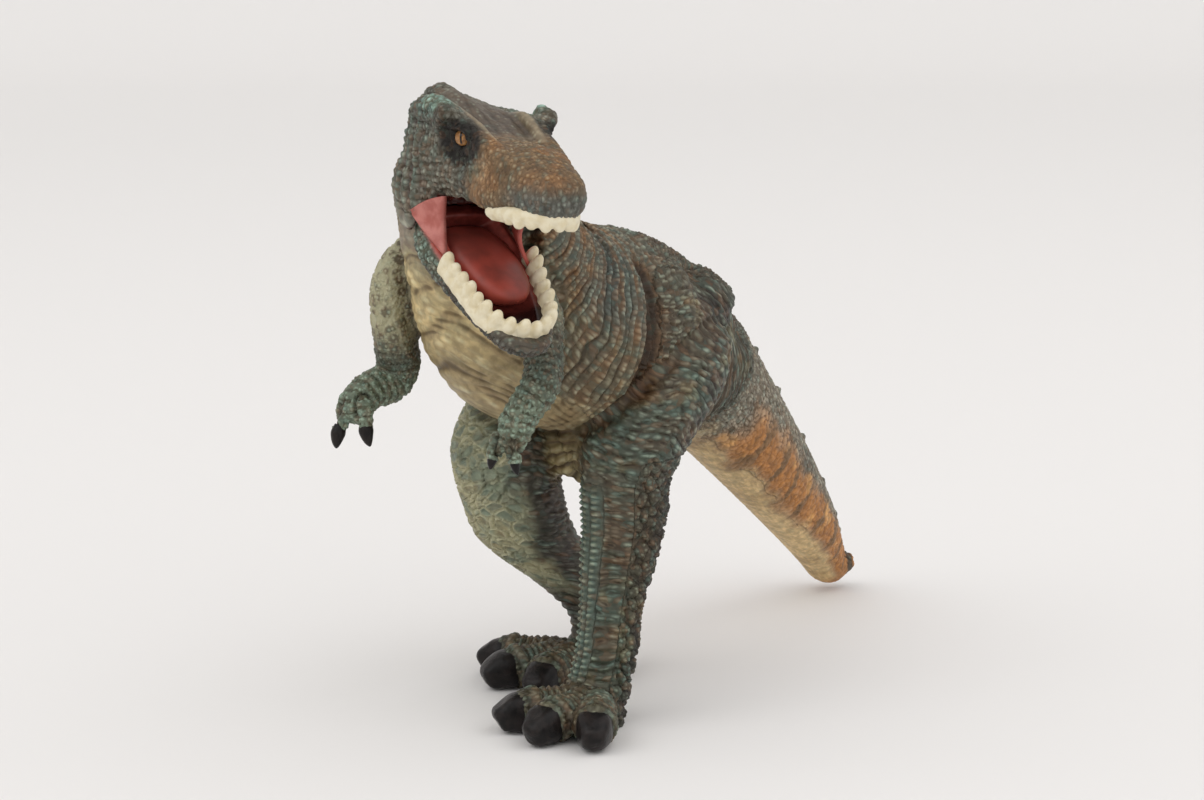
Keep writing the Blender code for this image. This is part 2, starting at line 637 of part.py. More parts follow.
def make_arm(name):
    rows = arm_rows(name)
    arm = loft(name + "_arm", rows, sides=SMALL_RING_SIDES)
    hand = Vector(rows[-1][:3])
    for finger, (root_shares, way_shares) in FINGER_SHARES[name].items():
        root = hand + Vector(root_shares) * ARM_LENGTH
        way = Vector(way_shares).normalized()
        knuckle = root + way * FINGER_LENGTH
        radius = FINGER_WIDTH / 2
        join(arm, rod("finger", root, knuckle, radius, sides=SMALL_RING_SIDES))
        tip = knuckle + way * FINGER_CLAW_LENGTH
        paint(rod(f"{name}_{finger}_finger_claw", knuckle + way * GAP, tip, radius, radius / 4,
                  SMALL_RING_SIDES), HORN)
    paint(arm, SKIN)


def make_torso(pivot):
    torso = loft("torso", spine_rows(NECK_SEAM_ROW, TAIL_SEAM_ROW), start_cut=GAP, guides=(1, 1))
    join(torso, ball("vent", Vector(VENT_SHARES) * BACK_HEIGHT + Vector((ORIGIN_X, ORIGIN_Y, 0)),
                     VENT_RADIUS, None))
    cut(torso, seam_peg("socket", TAIL_SEAM_ROW, -1, GAP), seam_peg("socket", NECK_SEAM_ROW, 1, GAP))
    for shares, side in ((LEFT_LEG_SHARES, 1), (RIGHT_LEG_SHARES, -1)):
        cut(torso, loft("hip_socket", leg_rows(shares, side), grow=SOCKET_GAP, level=True))
    cut(torso, shoulder_socket("left"), shoulder_socket("right"), jaw_block("throat", pivot, GAP))
    paint(torso, SKIN)


def make_tail():
    tail = loft("tail", spine_rows(TAIL_SEAM_ROW, len(SPINE_SHARES) - 1), start_cut=GAP, guides=(1, 0))
    join(tail, seam_peg("peg", TAIL_SEAM_ROW, -1))
    paint(tail, SKIN)


def main():
    for obj in list(bpy.data.objects):
        bpy.data.objects.remove(obj, do_unlink=True)
    head = empty("head_frame", head_place())
    pivot = empty("jaw_pivot", Matrix.Rotation(GAPE, 4, "Y"), head)
    make_head(head, pivot)
    make_lower_jaw(pivot)
    make_torso(pivot)
    make_tail()
    make_leg("left", LEFT_LEG_SHARES, 1, LEFT_TOE_TURNS)
    make_leg("right", RIGHT_LEG_SHARES, -1, RIGHT_TOE_TURNS)
    make_arm("left")
    make_arm("right")


main()
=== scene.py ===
"""Painted toy dinosaur: scaly skin, gaping mouth, teeth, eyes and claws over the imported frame.

The skin is lofted from the castings' stations, merged into one surface, carved with folds and
scales, and parted again along the castings. Lengths are in millimetres until a mesh is made,
and -Y is the way the body faces.
"""

import json
from math import cos, pi, radians, sin

import bmesh
import bpy
import numpy as np
from mathutils import Matrix, Vector


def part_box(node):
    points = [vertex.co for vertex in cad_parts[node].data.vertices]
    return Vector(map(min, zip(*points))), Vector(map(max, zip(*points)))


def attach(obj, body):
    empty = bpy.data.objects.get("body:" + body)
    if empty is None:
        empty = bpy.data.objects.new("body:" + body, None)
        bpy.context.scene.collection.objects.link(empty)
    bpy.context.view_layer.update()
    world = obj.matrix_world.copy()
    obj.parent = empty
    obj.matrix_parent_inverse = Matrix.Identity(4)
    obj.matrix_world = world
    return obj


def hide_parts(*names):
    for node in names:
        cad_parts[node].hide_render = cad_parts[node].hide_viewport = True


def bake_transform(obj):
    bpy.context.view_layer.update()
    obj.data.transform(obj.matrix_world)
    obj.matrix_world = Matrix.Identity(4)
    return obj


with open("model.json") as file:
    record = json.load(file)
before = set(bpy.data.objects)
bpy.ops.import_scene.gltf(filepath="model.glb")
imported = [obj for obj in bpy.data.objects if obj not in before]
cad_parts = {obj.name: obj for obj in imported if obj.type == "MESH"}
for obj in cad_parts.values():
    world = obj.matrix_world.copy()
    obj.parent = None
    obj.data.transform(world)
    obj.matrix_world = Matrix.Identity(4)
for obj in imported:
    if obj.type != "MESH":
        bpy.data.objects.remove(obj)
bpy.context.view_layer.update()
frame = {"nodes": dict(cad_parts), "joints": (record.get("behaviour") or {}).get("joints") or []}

MM = 0.001

# Sizes shared with the castings
BODY_LENGTH, BACK_HEIGHT, TORSO_WIDTH, TORSO_DEPTH = 150.0, 100.0, 42.0, 44.0
LEG_WIDTH, LEG_DEPTH, HIP_SPREAD, STANCE, STRIDE = 22.0, 30.0, 25.0, 21.5, 25.0
ARM_LENGTH, ARM_WIDTH = 34.0, 12.0
TOE_LENGTH, TOE_WIDTH, TOE_DEPTH = 13.5, 8.0, 8.5
FINGER_LENGTH, CLAW_LENGTH = 3.8, 6.5
GAPE, CLOSING = radians(35.0), radians(22.0)

# A little smaller than in the castings
FINGER_CLAW, EYE_RADIUS = 2.9, 1.6

ORIGIN = np.array((-3.5, -6.8, 0.0))
VENT = ORIGIN + (3.5, -14.0, 53.5)
HINGE = np.array(frame["joints"][0]["pos_m"]) / MM
FORWARD = np.array((0.9204, -0.3907, -0.0175))
UP = np.array((0.0467, 0.0654, 0.9968))
LEFT = np.cross(UP, FORWARD)
HEAD_AXES = np.stack([FORWARD, LEFT, UP])

# Middle, half width and half depth in shares of the trunk's sizes, from the head to the tail's tip
SPINE = (
    (0.02, -0.373, 1.09, 0.25, 0.25), (-0.02, -0.333, 1.01, 0.34, 0.31), (-0.02, -0.287, 0.91, 0.41, 0.38),
    (0.00, -0.233, 0.80, 0.47, 0.46), (0.03, -0.160, 0.755, 0.49, 0.46), (0.08, -0.053, 0.735, 0.44, 0.42),
    (0.11, 0.040, 0.69, 0.375, 0.37), (0.13, 0.133, 0.60, 0.30, 0.31), (0.15, 0.247, 0.455, 0.245, 0.26),
    (0.14, 0.360, 0.315, 0.20, 0.215), (0.10, 0.467, 0.185, 0.16, 0.165), (0.05, 0.533, 0.105, 0.129, 0.127),
    (0.05, 0.560, 0.062, 0.11, 0.105), (0.08, 0.580, 0.058, 0.081, 0.077), (0.13, 0.597, 0.062, 0.038, 0.036),
)
SPINE_STEPS = 5
NECK_END, RIB_ROW, TAIL_ROW = 1.3, 4.25, 7.0
# The share of the way from hip to foot, then middle and radii in shares of the leg's sizes
LEFT_LEG = (
    (0.00, -0.136, 0.10, 0.76, 0.28, 0.30), (0.08, -0.05, 0.10, 0.71, 0.42, 0.46),
    (0.22, -0.03, 0.02, 0.62, 0.49, 0.53), (0.35, -0.08, -0.05, 0.54, 0.455, 0.45),
    (0.45, -0.086, -0.10, 0.46, 0.377, 0.32), (0.55, -0.08, -0.017, 0.38, 0.35, 0.293),
    (0.65, -0.06, -0.017, 0.30, 0.318, 0.247), (0.75, -0.02, -0.05, 0.22, 0.268, 0.19),
    (0.85, 0.00, -0.03, 0.14, 0.273, 0.18), (0.93, -0.04, 0.000, 0.08, 0.290, 0.180),
    (1.00, -0.07, 0.030, 0.03, 0.300, 0.190), (1.00, -0.07, 0.030, 0.00, 0.280, 0.175),
)
RIGHT_LEG = (
    (0.00, 0.08, 0.033, 0.76, 0.27, 0.28), (0.10, -0.06, -0.117, 0.69, 0.42, 0.43),
    (0.22, -0.127, -0.397, 0.60, 0.455, 0.46), (0.35, -0.19, -0.57, 0.52, 0.46, 0.42),
    (0.45, -0.22, -0.55, 0.45, 0.45, 0.39), (0.55, -0.25, -0.45, 0.385, 0.43, 0.37),
    (0.65, -0.28, -0.32, 0.325, 0.42, 0.37), (0.75, -0.26, -0.15, 0.275, 0.385, 0.35),
    (0.85, -0.18, 0.08, 0.215, 0.335, 0.31), (0.93, 0.01, 0.20, 0.14, 0.250, 0.21),
    (0.97, 0.07, 0.19, 0.08, 0.250, 0.19), (1.00, 0.00, 0.10, 0.03, 0.355, 0.22),
    (1.00, 0.00, 0.10, 0.00, 0.332, 0.207),
)
SIDES = {"left": 1, "right": -1}
TOE_TURNS = {
    "left": {"inner": -42, "middle": -6, "outer": 31},
    "right": {"inner": 8, "middle": -32, "outer": -70},
}
ARMS = {
    "left": (
        (-0.120, 0.100, 0.200, 0.36, 0.40), (-0.01, 0.00, 0.00, 0.38, 0.45),
        (0.10, -0.103, -0.19, 0.31, 0.35), (0.15, -0.176, -0.34, 0.295, 0.32),
        (0.155, -0.235, -0.426, 0.295, 0.31), (0.100, -0.294, -0.535, 0.28, 0.29),
        (0.07, -0.338, -0.632, 0.285, 0.27), (0.047, -0.368, -0.72, 0.26, 0.225),
    ),
    "right": (
        (0.130, 0.059, 0.230, 0.36, 0.42), (-0.005, 0.00, 0.00, 0.45, 0.55),
        (-0.064, 0.03, -0.31, 0.38, 0.45), (-0.122, 0.103, -0.50, 0.35, 0.36),
        (-0.152, 0.059, -0.59, 0.34, 0.34), (-0.186, -0.088, -0.62, 0.31, 0.30),
        (-0.205, -0.19, -0.69, 0.31, 0.27), (-0.21, -0.25, -0.765, 0.27, 0.22),
    ),
}
SHOULDERS = {"left": (0.333, -0.333, 0.84), "right": (-0.452, -0.313, 0.85)}
FINGERS = {
    "left": {"first": ((-0.038, -0.012, 0.045), (-0.25, -0.3, -1.0)),
             "second": ((0.040, -0.01, 0.035), (0.20, -0.1, -1.0))},
    "right": {"first": ((-0.03, 0.00, 0.045), (-0.15, -0.3, -1.0)),
              "second": ((0.10, 0.015, 0.075), (0.20, -0.15, -1.0))},
}
# Stations in a part's own middle plane: forward, up, half width and half depth
SKULL = (
    (-8.2, 13.9, 6.0, 6.2), (-6.0, 13.4, 8.9, 9.8), (-2.0, 12.8, 10.8, 11.0), (3.0, 11.6, 11.2, 9.8),
    (8.0, 10.4, 10.0, 8.2), (13.0, 9.4, 8.9, 7.2), (18.0, 9.0, 8.0, 6.5), (23.0, 8.7, 7.6, 6.5),
    (28.0, 7.6, 6.8, 5.6), (31.5, 6.7, 5.8, 4.7), (33.6, 6.0, 4.2, 3.4), (34.4, 5.8, 1.8, 1.5),
)
JAW = (
    (-2.0, -1.3, 7.1, 3.4), (1.0, -1.8, 9.2, 4.2), (5.2, -2.5, 10.2, 4.6), (12.0, -2.6, 9.8, 4.1),
    (20.0, -2.2, 8.6, 3.2), (27.0, -1.8, 7.2, 2.8), (31.0, -1.6, 5.6, 2.4), (33.2, -1.5, 3.6, 1.9),
    (34.0, -1.5, 1.6, 0.9),
)
TOE = ((0.05, 0.50, 0.42, 0.46), (0.35, 0.52, 0.48, 0.50), (0.70, 0.50, 0.49, 0.48), (0.90, 0.50, 0.53, 0.51),
       (1.00, 0.50, 0.56, 0.53), (1.08, 0.49, 0.54, 0.51), (1.13, 0.47, 0.42, 0.40))
CLAW = ((-0.10, 0.46, 0.38, 0.38), (0.10, 0.47, 0.43, 0.43), (0.35, 0.46, 0.43, 0.43),
        (0.60, 0.41, 0.39, 0.38), (0.80, 0.35, 0.335, 0.32), (0.93, 0.30, 0.27, 0.26),
        (1.00, 0.27, 0.17, 0.17), (1.02, 0.26, 0.05, 0.05))
ROOF_HOLLOW = ((2.0, 3.5, 5.0, 3.5), (8.0, 4.8, 5.6, 3.2), (16.0, 4.0, 5.0, 3.0), (24.0, 3.4, 4.4, 2.6),
               (29.5, 3.2, 2.8, 1.8), (31.0, 3.2, 1.2, 1.0))
THROAT = ((6.0, -3.0, 7.6, 6.5), (1.5, -3.5, 6.6, 5.6), (-3.0, -5.0, 4.6, 3.8), (-5.5, -6.5, 2.0, 1.6))
TROUGH = ((2.0, 3.0, 6.0, 4.0), (8.0, 3.0, 7.4, 4.8), (14.0, 3.0, 7.2, 5.0), (21.0, 3.0, 6.2, 5.0),
          (26.5, 3.0, 4.8, 4.8), (29.0, 3.0, 3.2, 4.4))
JAW_RIM = ((9.0, 5.4, 14, 5.0), (19.0, 5.0, 14, 5.0), (26.0, 4.8, 14, 5.0), (40.0, 4.8, 14, 5.0))
TONGUE = ((3.0, -1.4, 4.8, 1.6), (7.0, -0.6, 6.0, 2.2), (13.0, 0.0, 6.3, 2.5), (18.0, 0.3, 5.7, 2.5),
          (20.6, 0.4, 4.8, 2.3), (22.3, 0.4, 3.4, 1.8), (23.1, 0.2, 1.3, 0.8))
PALATE = ((4.0, 5.2, 4.0, 0.5), (10.0, 6.2, 4.4, 0.6), (18.0, 5.6, 4.0, 0.6), (26.0, 4.6, 3.0, 0.5),
          (29.5, 4.2, 1.2, 0.4))

# The grain of each merging, from the first rough forms to the teeth
ROUGH_VOXEL, SWING_VOXEL, HEAD_VOXEL = 0.50, 0.45, 0.42
SKIN_VOXEL, JAW_VOXEL, TOOTH_VOXEL = 0.32, 0.30, 0.20

BEAD_SIZE = 0.85    # how far apart the small beads are where nothing lines them up
LEVEL = 0.6         # the part of a pattern that stands level with the smooth form


# Numbers: noise, cells and curves
def hashed(cell, seed):
    """Even random numbers, one for each row of whole-number coordinates."""
    wave = np.sin(cell @ np.array((127.1, 311.7, 74.7)) + seed * 53.31) * 43758.5453
    return wave - np.floor(wave)


def noise(points, size, seed=0):
    """Smooth noise from -1 to 1 with features of about that size."""
    q = points / size
    base = np.floor(q)
    f = q - base
    f = f * f * (3 - 2 * f)
    total = np.zeros(len(points))
    for corner in np.ndindex(2, 2, 2):
        weight = np.prod(np.where(corner, f, 1 - f), axis=1)
        total += weight * hashed(base + corner, seed)
    return total * 2 - 1


def cells(points, size, seed):
    """How far each point is from the edge of its cell round scattered points, and a number per cell."""
    q = points / size
    base = np.floor(q)
    near = np.full(len(points), 9.0)
    second = near.copy()
    tag = np.zeros(len(points))
    for step in np.ndindex(3, 3, 3):
        cell = base + np.array(step) - 1
        spot = cell + np.stack([hashed(cell, seed + k) for k in range(3)], 1)
        gap = np.linalg.norm(spot - q, axis=1)
        closer = gap < near
        second = np.where(closer, near, np.minimum(second, gap))
        tag = np.where(closer, hashed(cell, seed + 7), tag)
        near = np.where(closer, gap, near)
    return second - near, tag


def scales(points, size, seed, groove):
    """Rounded scales: 0 in the grooves between them and 1 over their tops."""
    edge, tag = cells(points, size, seed)
    return ease(0.0, groove, edge) * (0.75 + 0.25 * tag)


def ease(low, high, value):
    """A smooth step from 0 at low to 1 at high."""
    t = np.clip((value - low) / (high - low), 0, 1)
    return t * t * (3 - 2 * t)


def fold(t):
    """Rounded folds with narrow grooves, one to each whole number."""
    return 1 - np.abs(np.cos(pi * t)) ** 3


def band(value, middle, width):
    """1 at the middle, falling away smoothly on both sides."""
    return np.exp(-((value - middle) / width) ** 2)


def within(value, low, high):
    return (value > low) & (value < high)


def near_to(points, spot, radius):
    """1 at a spot, falling smoothly to 0 at a radius, which may differ along the axes."""
    return 1 - ease(0, 1, np.linalg.norm((points - spot) / np.array(radius), axis=1))


def beside(points, a, b, radius):
    """1 on a line between two places, falling smoothly to 0 at a radius from it."""
    step = np.subtract(b, a)
    t = np.clip((points - a) @ step / (step @ step), 0, 1)
    return 1 - ease(0, radius, np.linalg.norm(points - a - t[:, None] * step, axis=1))


def unit(v):
    return np.array(v) / np.linalg.norm(v)


def run_along(path):
    """The way along a path at each of its points."""
    return np.concatenate([[0], np.cumsum(np.linalg.norm(np.diff(path, axis=0), axis=1))])


def smooth_rows(rows, steps, start=0.0, stop=None):
    rows = np.array(rows, float)
    stop = len(rows) - 1 if stop is None else stop
    made = []
    for place in np.linspace(start, stop, max(1, round((stop - start) * steps)) + 1):
        i = min(int(place), len(rows) - 2)
        t = place - i
        p, q, r, s = rows[max(i - 1, 0)], rows[i], rows[i + 1], rows[min(i + 2, len(rows) - 1)]
        made.append(q + ((r - p) * t + (2 * p - 5 * q + 4 * r - s) * t**2
                         + (3 * q - p - 3 * r + s) * t**3) / 2)
    return np.array(made)


class Limb:
    """A line of oval rings, which gives both a surface and the places along it."""

    def __init__(self, rows, across=(1, 0, 0), level=False, power=2.0, sides=32):
        self.rows, self.level, self.power, self.sides = np.array(rows, float), level, power, sides
        centres, last = self.rows[:, :3], len(rows) - 1
        along = np.array([(0, 0, -1) if level else unit(centres[min(i + 1, last)] - centres[max(i - 1, 0)])
                          for i in range(last + 1)], float)
        across = np.array(across, float)
        self.side = np.array([unit(across - a * (across @ a)) for a in along])
        self.rise = np.cross(self.side, along)
        self.at = run_along(centres)

    def mesh(self):
        n, last = self.sides, (len(self.rows) - 1) * self.sides
        angles = 2 * pi * np.arange(n) / n
        wide, high = (np.abs(v) ** (2 / self.power) * np.sign(v) for v in (np.cos(angles), np.sin(angles)))
        rings = (self.rows[:, None, :3] + self.side[:, None] * (wide * self.rows[:, 3:4])[..., None]
                 + self.rise[:, None] * (high * self.rows[:, 4:5])[..., None])
        faces = [(i + k, i + (k + 1) % n, i + n + (k + 1) % n, i + n + k)
                 for i in range(0, last, n) for k in range(n)]
        faces += [tuple(range(n))[::-1], tuple(range(last, last + n))]
        return rings.reshape(-1, 3), faces

    def locate(self, points):
        """For each point: how near it is in radii, the way along, and its place across and up the ring."""
        best, place = np.full(len(points), 99.0), np.zeros((len(points), 3))
        low, high = self.rows[:, :3].min(0), self.rows[:, :3].max(0)
        reach = self.rows[:, 3:5].max() * 1.8
        near = np.nonzero(((points > low - reach) & (points < high + reach)).all(1))[0]
        best[near], place[near] = (self.locate_level if self.level else self.locate_bent)(points[near])
        return best, place

    def locate_level(self, points):
        middle = np.stack([np.interp(-points[:, 2], -self.rows[:, 2], self.rows[:, k]) for k in range(5)], 1)
        away = points - middle[:, :3]
        gap = np.linalg.norm(away / middle[:, (3, 4, 4)], axis=1)
        return gap, np.column_stack([self.rows[0, 2] - points[:, 2], away[:, :2]])

    def locate_bent(self, points):
        gaps, places = [], []
        for i, (a, b) in enumerate(zip(self.rows, self.rows[1:])):
            step = b[:3] - a[:3]
            t = np.clip((points - a[:3]) @ step / (step @ step + 1e-9), 0, 1)[:, None]
            away = points - (a[:3] + t * step)
            side = self.side[i] + t * (self.side[i + 1] - self.side[i])
            rise = self.rise[i] + t * (self.rise[i + 1] - self.rise[i])
            radius = a[3:5] + t * (b[3:5] - a[3:5])
            across, up = (away * side).sum(1), (away * rise).sum(1)
            ahead = np.linalg.norm(away - across[:, None] * side - up[:, None] * rise, axis=1)
            gap = np.sqrt((across / radius[:, 0]) ** 2 + (up / radius[:, 1]) ** 2
                          + (ahead / radius.mean(1)) ** 2)
            gaps.append(gap.astype(np.float32))
            here = np.stack([self.at[i] + t[:, 0] * (self.at[i + 1] - self.at[i]), across, up], 1)
            places.append(here.astype(np.float32))
        gaps = np.array(gaps)
        best = gaps.min(0)
        weights = np.exp(-30.0 * (gaps - best))
        weights /= weights.sum(0)
        place = sum(weight[:, None] * here for weight, here in zip(weights, places))
        return best.astype(float), place.astype(float)


def ball_mesh(centre, radii, axes=np.eye(3), rings=12, sides=20):
    turns = [(pi * i / rings, 2 * pi * k / sides) for i in range(1, rings) for k in range(sides)]
    points = [(0, 0, 1), *((sin(a) * cos(b), sin(a) * sin(b), cos(a)) for a, b in turns), (0, 0, -1)]
    base, last = 1 + (rings - 2) * sides, len(points) - 1
    faces = [(0, 1 + k, 1 + (k + 1) % sides) for k in range(sides)]
    for a in range(1, base, sides):
        faces += [(a + k, a + sides + k, a + sides + (k + 1) % sides, a + (k + 1) % sides)
                  for k in range(sides)]
    faces += [(last, base + (k + 1) % sides, base + k) for k in range(sides)]
    return centre + (np.array(points) * radii) @ axes, faces


def tube_mesh(path, radii, sides=16):
    rows = [(*p, r, r) for p, r in zip(path, radii)]
    way = unit(np.subtract(path[-1], path[0]))
    return Limb(rows, (0, 0, 1) if abs(way[2]) < 0.8 else (1, 0, 0), sides=sides).mesh()


def merged(meshes):
    points, faces, start = [], [], 0
    for p, f in meshes:
        points.append(p)
        faces += [tuple(i + start for i in face) for face in f]
        start += len(p)
    return np.concatenate(points), faces


# Objects
def add_object(name, points, faces):
    """A smooth-shaded object from points in millimetres."""
    mesh = bpy.data.meshes.new(name)
    mesh.from_pydata((np.asarray(points) * MM).tolist(), [], faces)
    mesh.validate()
    mesh.shade_smooth()
    obj = bpy.data.objects.new(name, mesh)
    bpy.context.scene.collection.objects.link(obj)
    return obj


def outward(obj):
    bm = bmesh.new()
    bm.from_mesh(obj.data)
    bmesh.ops.recalc_face_normals(bm, faces=bm.faces)
    bm.to_mesh(obj.data)
    bm.free()
    return obj


def modified(obj, kind, **settings):
    """Adds a modifier to the object and applies it."""
    modifier = obj.modifiers.new("change", kind)
    for key, value in settings.items():
        setattr(modifier, key, value)
    bpy.context.view_layer.update()
    mesh = bpy.data.meshes.new_from_object(obj.evaluated_get(bpy.context.evaluated_depsgraph_get()))
    obj.modifiers.clear()
    obj.data = mesh
    return obj


def remeshed(obj, voxel):
    return modified(obj, "REMESH", mode="VOXEL", voxel_size=voxel * MM)


def carved(obj, cutter):
    modified(obj, "BOOLEAN", operation="DIFFERENCE", object=outward(cutter))
    bpy.data.objects.remove(cutter, do_unlink=True)
    return obj


def taken(obj):
    """Removes an object, and gives its points in millimetres and its faces as rows of four."""
    def read(data, key, kind, width=1):
        numbers = np.empty(len(data) * width, kind)
        data.foreach_get(key, numbers)
        return numbers

    mesh = obj.data
    points = read(mesh.vertices, "co", np.float32, 3).reshape(-1, 3).astype(float) / MM
    loops = read(mesh.loops, "vertex_index", np.int32)
    starts = read(mesh.polygons, "loop_start", np.int32)
    ends = starts + np.where(read(mesh.polygons, "loop_total", np.int32) > 3, 3, 2)
    quads = np.stack([loops[starts], loops[starts + 1], loops[starts + 2], loops[ends]], 1)
    bpy.data.objects.remove(obj, do_unlink=True)
    return points, quads


def relaxed(points, quads, rounds, share=0.5):
    """The points drawn towards their neighbours' mean a number of times."""
    edges = np.concatenate([quads[:, (0, 1)], quads[:, (1, 2)], quads[:, (2, 3)], quads[:, (3, 0)]])
    edges = edges[edges[:, 0] != edges[:, 1]]
    a, b = np.concatenate([edges, edges[:, ::-1]]).T
    count = np.maximum(np.bincount(a, minlength=len(points)), 1)
    for _ in range(rounds):
        mean = np.stack([np.bincount(a, points[b, k], len(points)) / count for k in range(3)], 1)
        points = points + (mean - points) * share
    return points


def spread(values, quads, rounds):
    """A number at each point, blurred over its neighbours."""
    return relaxed(np.stack([values] * 3, 1), quads, rounds, 0.6)[:, 0]


def normals_of(points, quads):
    cross = np.cross(points[quads[:, 2]] - points[quads[:, 0]], points[quads[:, 3]] - points[quads[:, 1]])
    total = np.stack([sum(np.bincount(quads[:, c], cross[:, k], len(points)) for c in range(4))
                      for k in range(3)], 1)
    return total / (np.linalg.norm(total, axis=1, keepdims=True) + 1e-12)


def part_object(name, points, quads, normals, values):
    """One piece of a larger surface, with the whole surface's shading and numbers at its points."""
    used, index = np.unique(quads, return_inverse=True)
    rows = [tuple(f) if f[2] != f[3] else tuple(f[:3]) for f in index.reshape(quads.shape).tolist()]
    obj = add_object(name, points[used], rows)
    for key, value in values.items():
        coloured = value.ndim == 2
        attribute = obj.data.attributes.new(key, "FLOAT_COLOR" if coloured else "FLOAT", "POINT")
        numbers = np.column_stack([value, np.ones(len(value))]) if coloured else value
        attribute.data.foreach_set("color" if coloured else "value", numbers[used].ravel().astype(np.float32))
    obj.data.normals_split_custom_set_from_vertices(normals[used].tolist())
    return obj


# Places in the head and the lower jaw: forward, left and up from the hinge
def head(points):
    return HINGE + np.asarray(points, float) @ HEAD_AXES


def in_head(points):
    return (points - HINGE) @ HEAD_AXES.T


def jaw_axes(angle=GAPE):
    ahead = FORWARD * cos(angle) - UP * sin(angle)
    return np.stack([ahead, LEFT, FORWARD * sin(angle) + UP * cos(angle)])


def jaw(points, angle=GAPE):
    return HINGE + np.asarray(points, float) @ jaw_axes(angle)


def lofted(rows, steps, carry, across=LEFT, power=2.0, sides=32):
    """A limb through stations in a part's middle plane, carried to where the part is."""
    rows = smooth_rows(np.insert(np.array(rows, float), 1, 0.0, axis=1), steps)
    return Limb(np.concatenate([carry(rows[:, :3]), rows[:, 3:]], 1), across, power=power, sides=sides)


# The limbs
def spine_limb(start=0.0, stop=None):
    sizes = (TORSO_WIDTH, BODY_LENGTH, BACK_HEIGHT, TORSO_WIDTH, TORSO_DEPTH)
    rows = smooth_rows(np.array(SPINE) * sizes, SPINE_STEPS, start, stop)
    rows[:, :3] += ORIGIN
    return Limb(rows, sides=48)


def foot_centre(side):
    return ORIGIN + (0.137 * TORSO_WIDTH + side * STANCE / 2, -0.143 * BODY_LENGTH - side * STRIDE / 2, 0)


def leg_limb(table, side):
    hip = ORIGIN + (0.09 * TORSO_WIDTH + side * HIP_SPREAD / 2, -0.027 * BODY_LENGTH, 0)
    rows = []
    for down, across, back, up, wide, deep in table:
        x, y, _ = hip + (foot_centre(side) - hip) * down
        rows.append((x + across * LEG_WIDTH, y + back * LEG_DEPTH, up * BACK_HEIGHT,
                     wide * LEG_WIDTH, deep * LEG_DEPTH))
    return Limb(smooth_rows(rows, 4), level=True, sides=36)


def toe_limb(table, side, turn, start, length, steps, **form):
    """A toe or its claw, along the way the toe points."""
    ahead = np.array((sin(radians(turn)), -cos(radians(turn)), 0))
    axes = np.stack([ahead, np.cross((0, 0, 1), ahead), (0, 0, 1)])
    rows = [(start + x * length, z * TOE_DEPTH, w * TOE_WIDTH, d * TOE_DEPTH) for x, z, w, d in table]
    return lofted(rows, steps, lambda p: foot_centre(side) + p @ axes, axes[1], **form)


def arm_limb(name):
    rows = smooth_rows(np.array(ARMS[name]) * ((ARM_LENGTH,) * 3 + (ARM_WIDTH,) * 2), 4)
    rows[:, :3] += ORIGIN + np.array(SHOULDERS[name]) * (TORSO_WIDTH, BODY_LENGTH, BACK_HEIGHT)
    return Limb(rows, sides=28)


def finger_limb(root, way, hand):
    start, way = hand + np.array(root) * ARM_LENGTH, unit(way)
    reach = (-1.5, 0.0, 0.45 * FINGER_LENGTH, 0.9 * FINGER_LENGTH, 1.1 * FINGER_LENGTH)
    rows = [(*(start + way * t), r, r) for t, r in zip(reach, (1.5, 1.9, 1.6, 1.55, 1.0))]
    return Limb(smooth_rows(rows, 3), sides=18), (start + way * FINGER_LENGTH, way)


limbs = {"spine": spine_limb(), "left_leg": leg_limb(LEFT_LEG, 1), "right_leg": leg_limb(RIGHT_LEG, -1)}
for name, side in SIDES.items():
    limbs[name + "_arm"] = arm_limb(name)
    for toe, turn in TOE_TURNS[name].items():
        limbs[f"{name}_{toe}_toe"] = toe_limb(TOE, side, turn, 0.0, TOE_LENGTH, 4, sides=24)
claw_roots = {}
for name in SIDES:
    for finger, (root, way) in FINGERS[name].items():
        node = f"{name}_{finger}_finger"
        limbs[node], claw_roots[node + "_claw"] = finger_limb(root, way, limbs[name + "_arm"].rows[-1, :3])
limbs["skull"] = lofted(SKULL, 4, head, power=2.3, sides=40)


# The head's form, and the mouth cut out of it
def head_meshes():
    """The skull and neck with brow ridges, horns, lumps, jowls, lips and nose."""
    brow = ((-4, 7.0, 18.2), (1, 8.4, 19.0), (6, 9.0, 19.0), (10.5, 8.0, 17.2), (15, 6.8, 14.8),
            (20, 6.0, 13.0), (25, 5.0, 11.6))
    horn = ((6.0, 8.0, 17.2), (8.4, 9.6, 18.3), (10.4, 10.9, 19.3), (11.4, 11.6, 20.0))
    made = [limbs["skull"].mesh(), spine_limb(0, 3.0).mesh()]
    for path, radii in ((brow, (2.6, 2.9, 2.9, 2.6, 2.4, 2.2, 1.8)), (horn, (3.0, 2.7, 2.0, 1.3))):
        made += [tube_mesh(head(np.array(path) * (1, side, 1)), radii) for side in (-1, 1)]
    made.append(tube_mesh(head([(11.6, 10.8, 19.2), (13.4, 9.2, 16.6), (15.2, 7.4, 14.0)]), (1.1, 1.1, 1.7)))
    cheeks = (((5.5, 7.4, 14.5), (7.5, 3.2, 5.6)), ((13.5, 6.0, 12.0), (7.5, 3.0, 4.6)))
    jowls, lips = (((-2.0, 8.2, 5.0), (6.5, 3.6, 8.0)),), (((17.0, 6.2, 6.4), (10.0, 2.3, 3.4)),)
    balls = [(np.array(spot) * (1, side, 1), radii) for group in (cheeks, jowls, lips)
             for side in (-1, 1) for spot, radii in group]
    balls += [((27.0, 0, 8.3), (5.0, 5.2, 4.7)), ((-4.0, -2.5, 20.0), (5.0, 4.5, 4.0))]
    return made + [ball_mesh(head(spot), radii, HEAD_AXES) for spot, radii in balls]


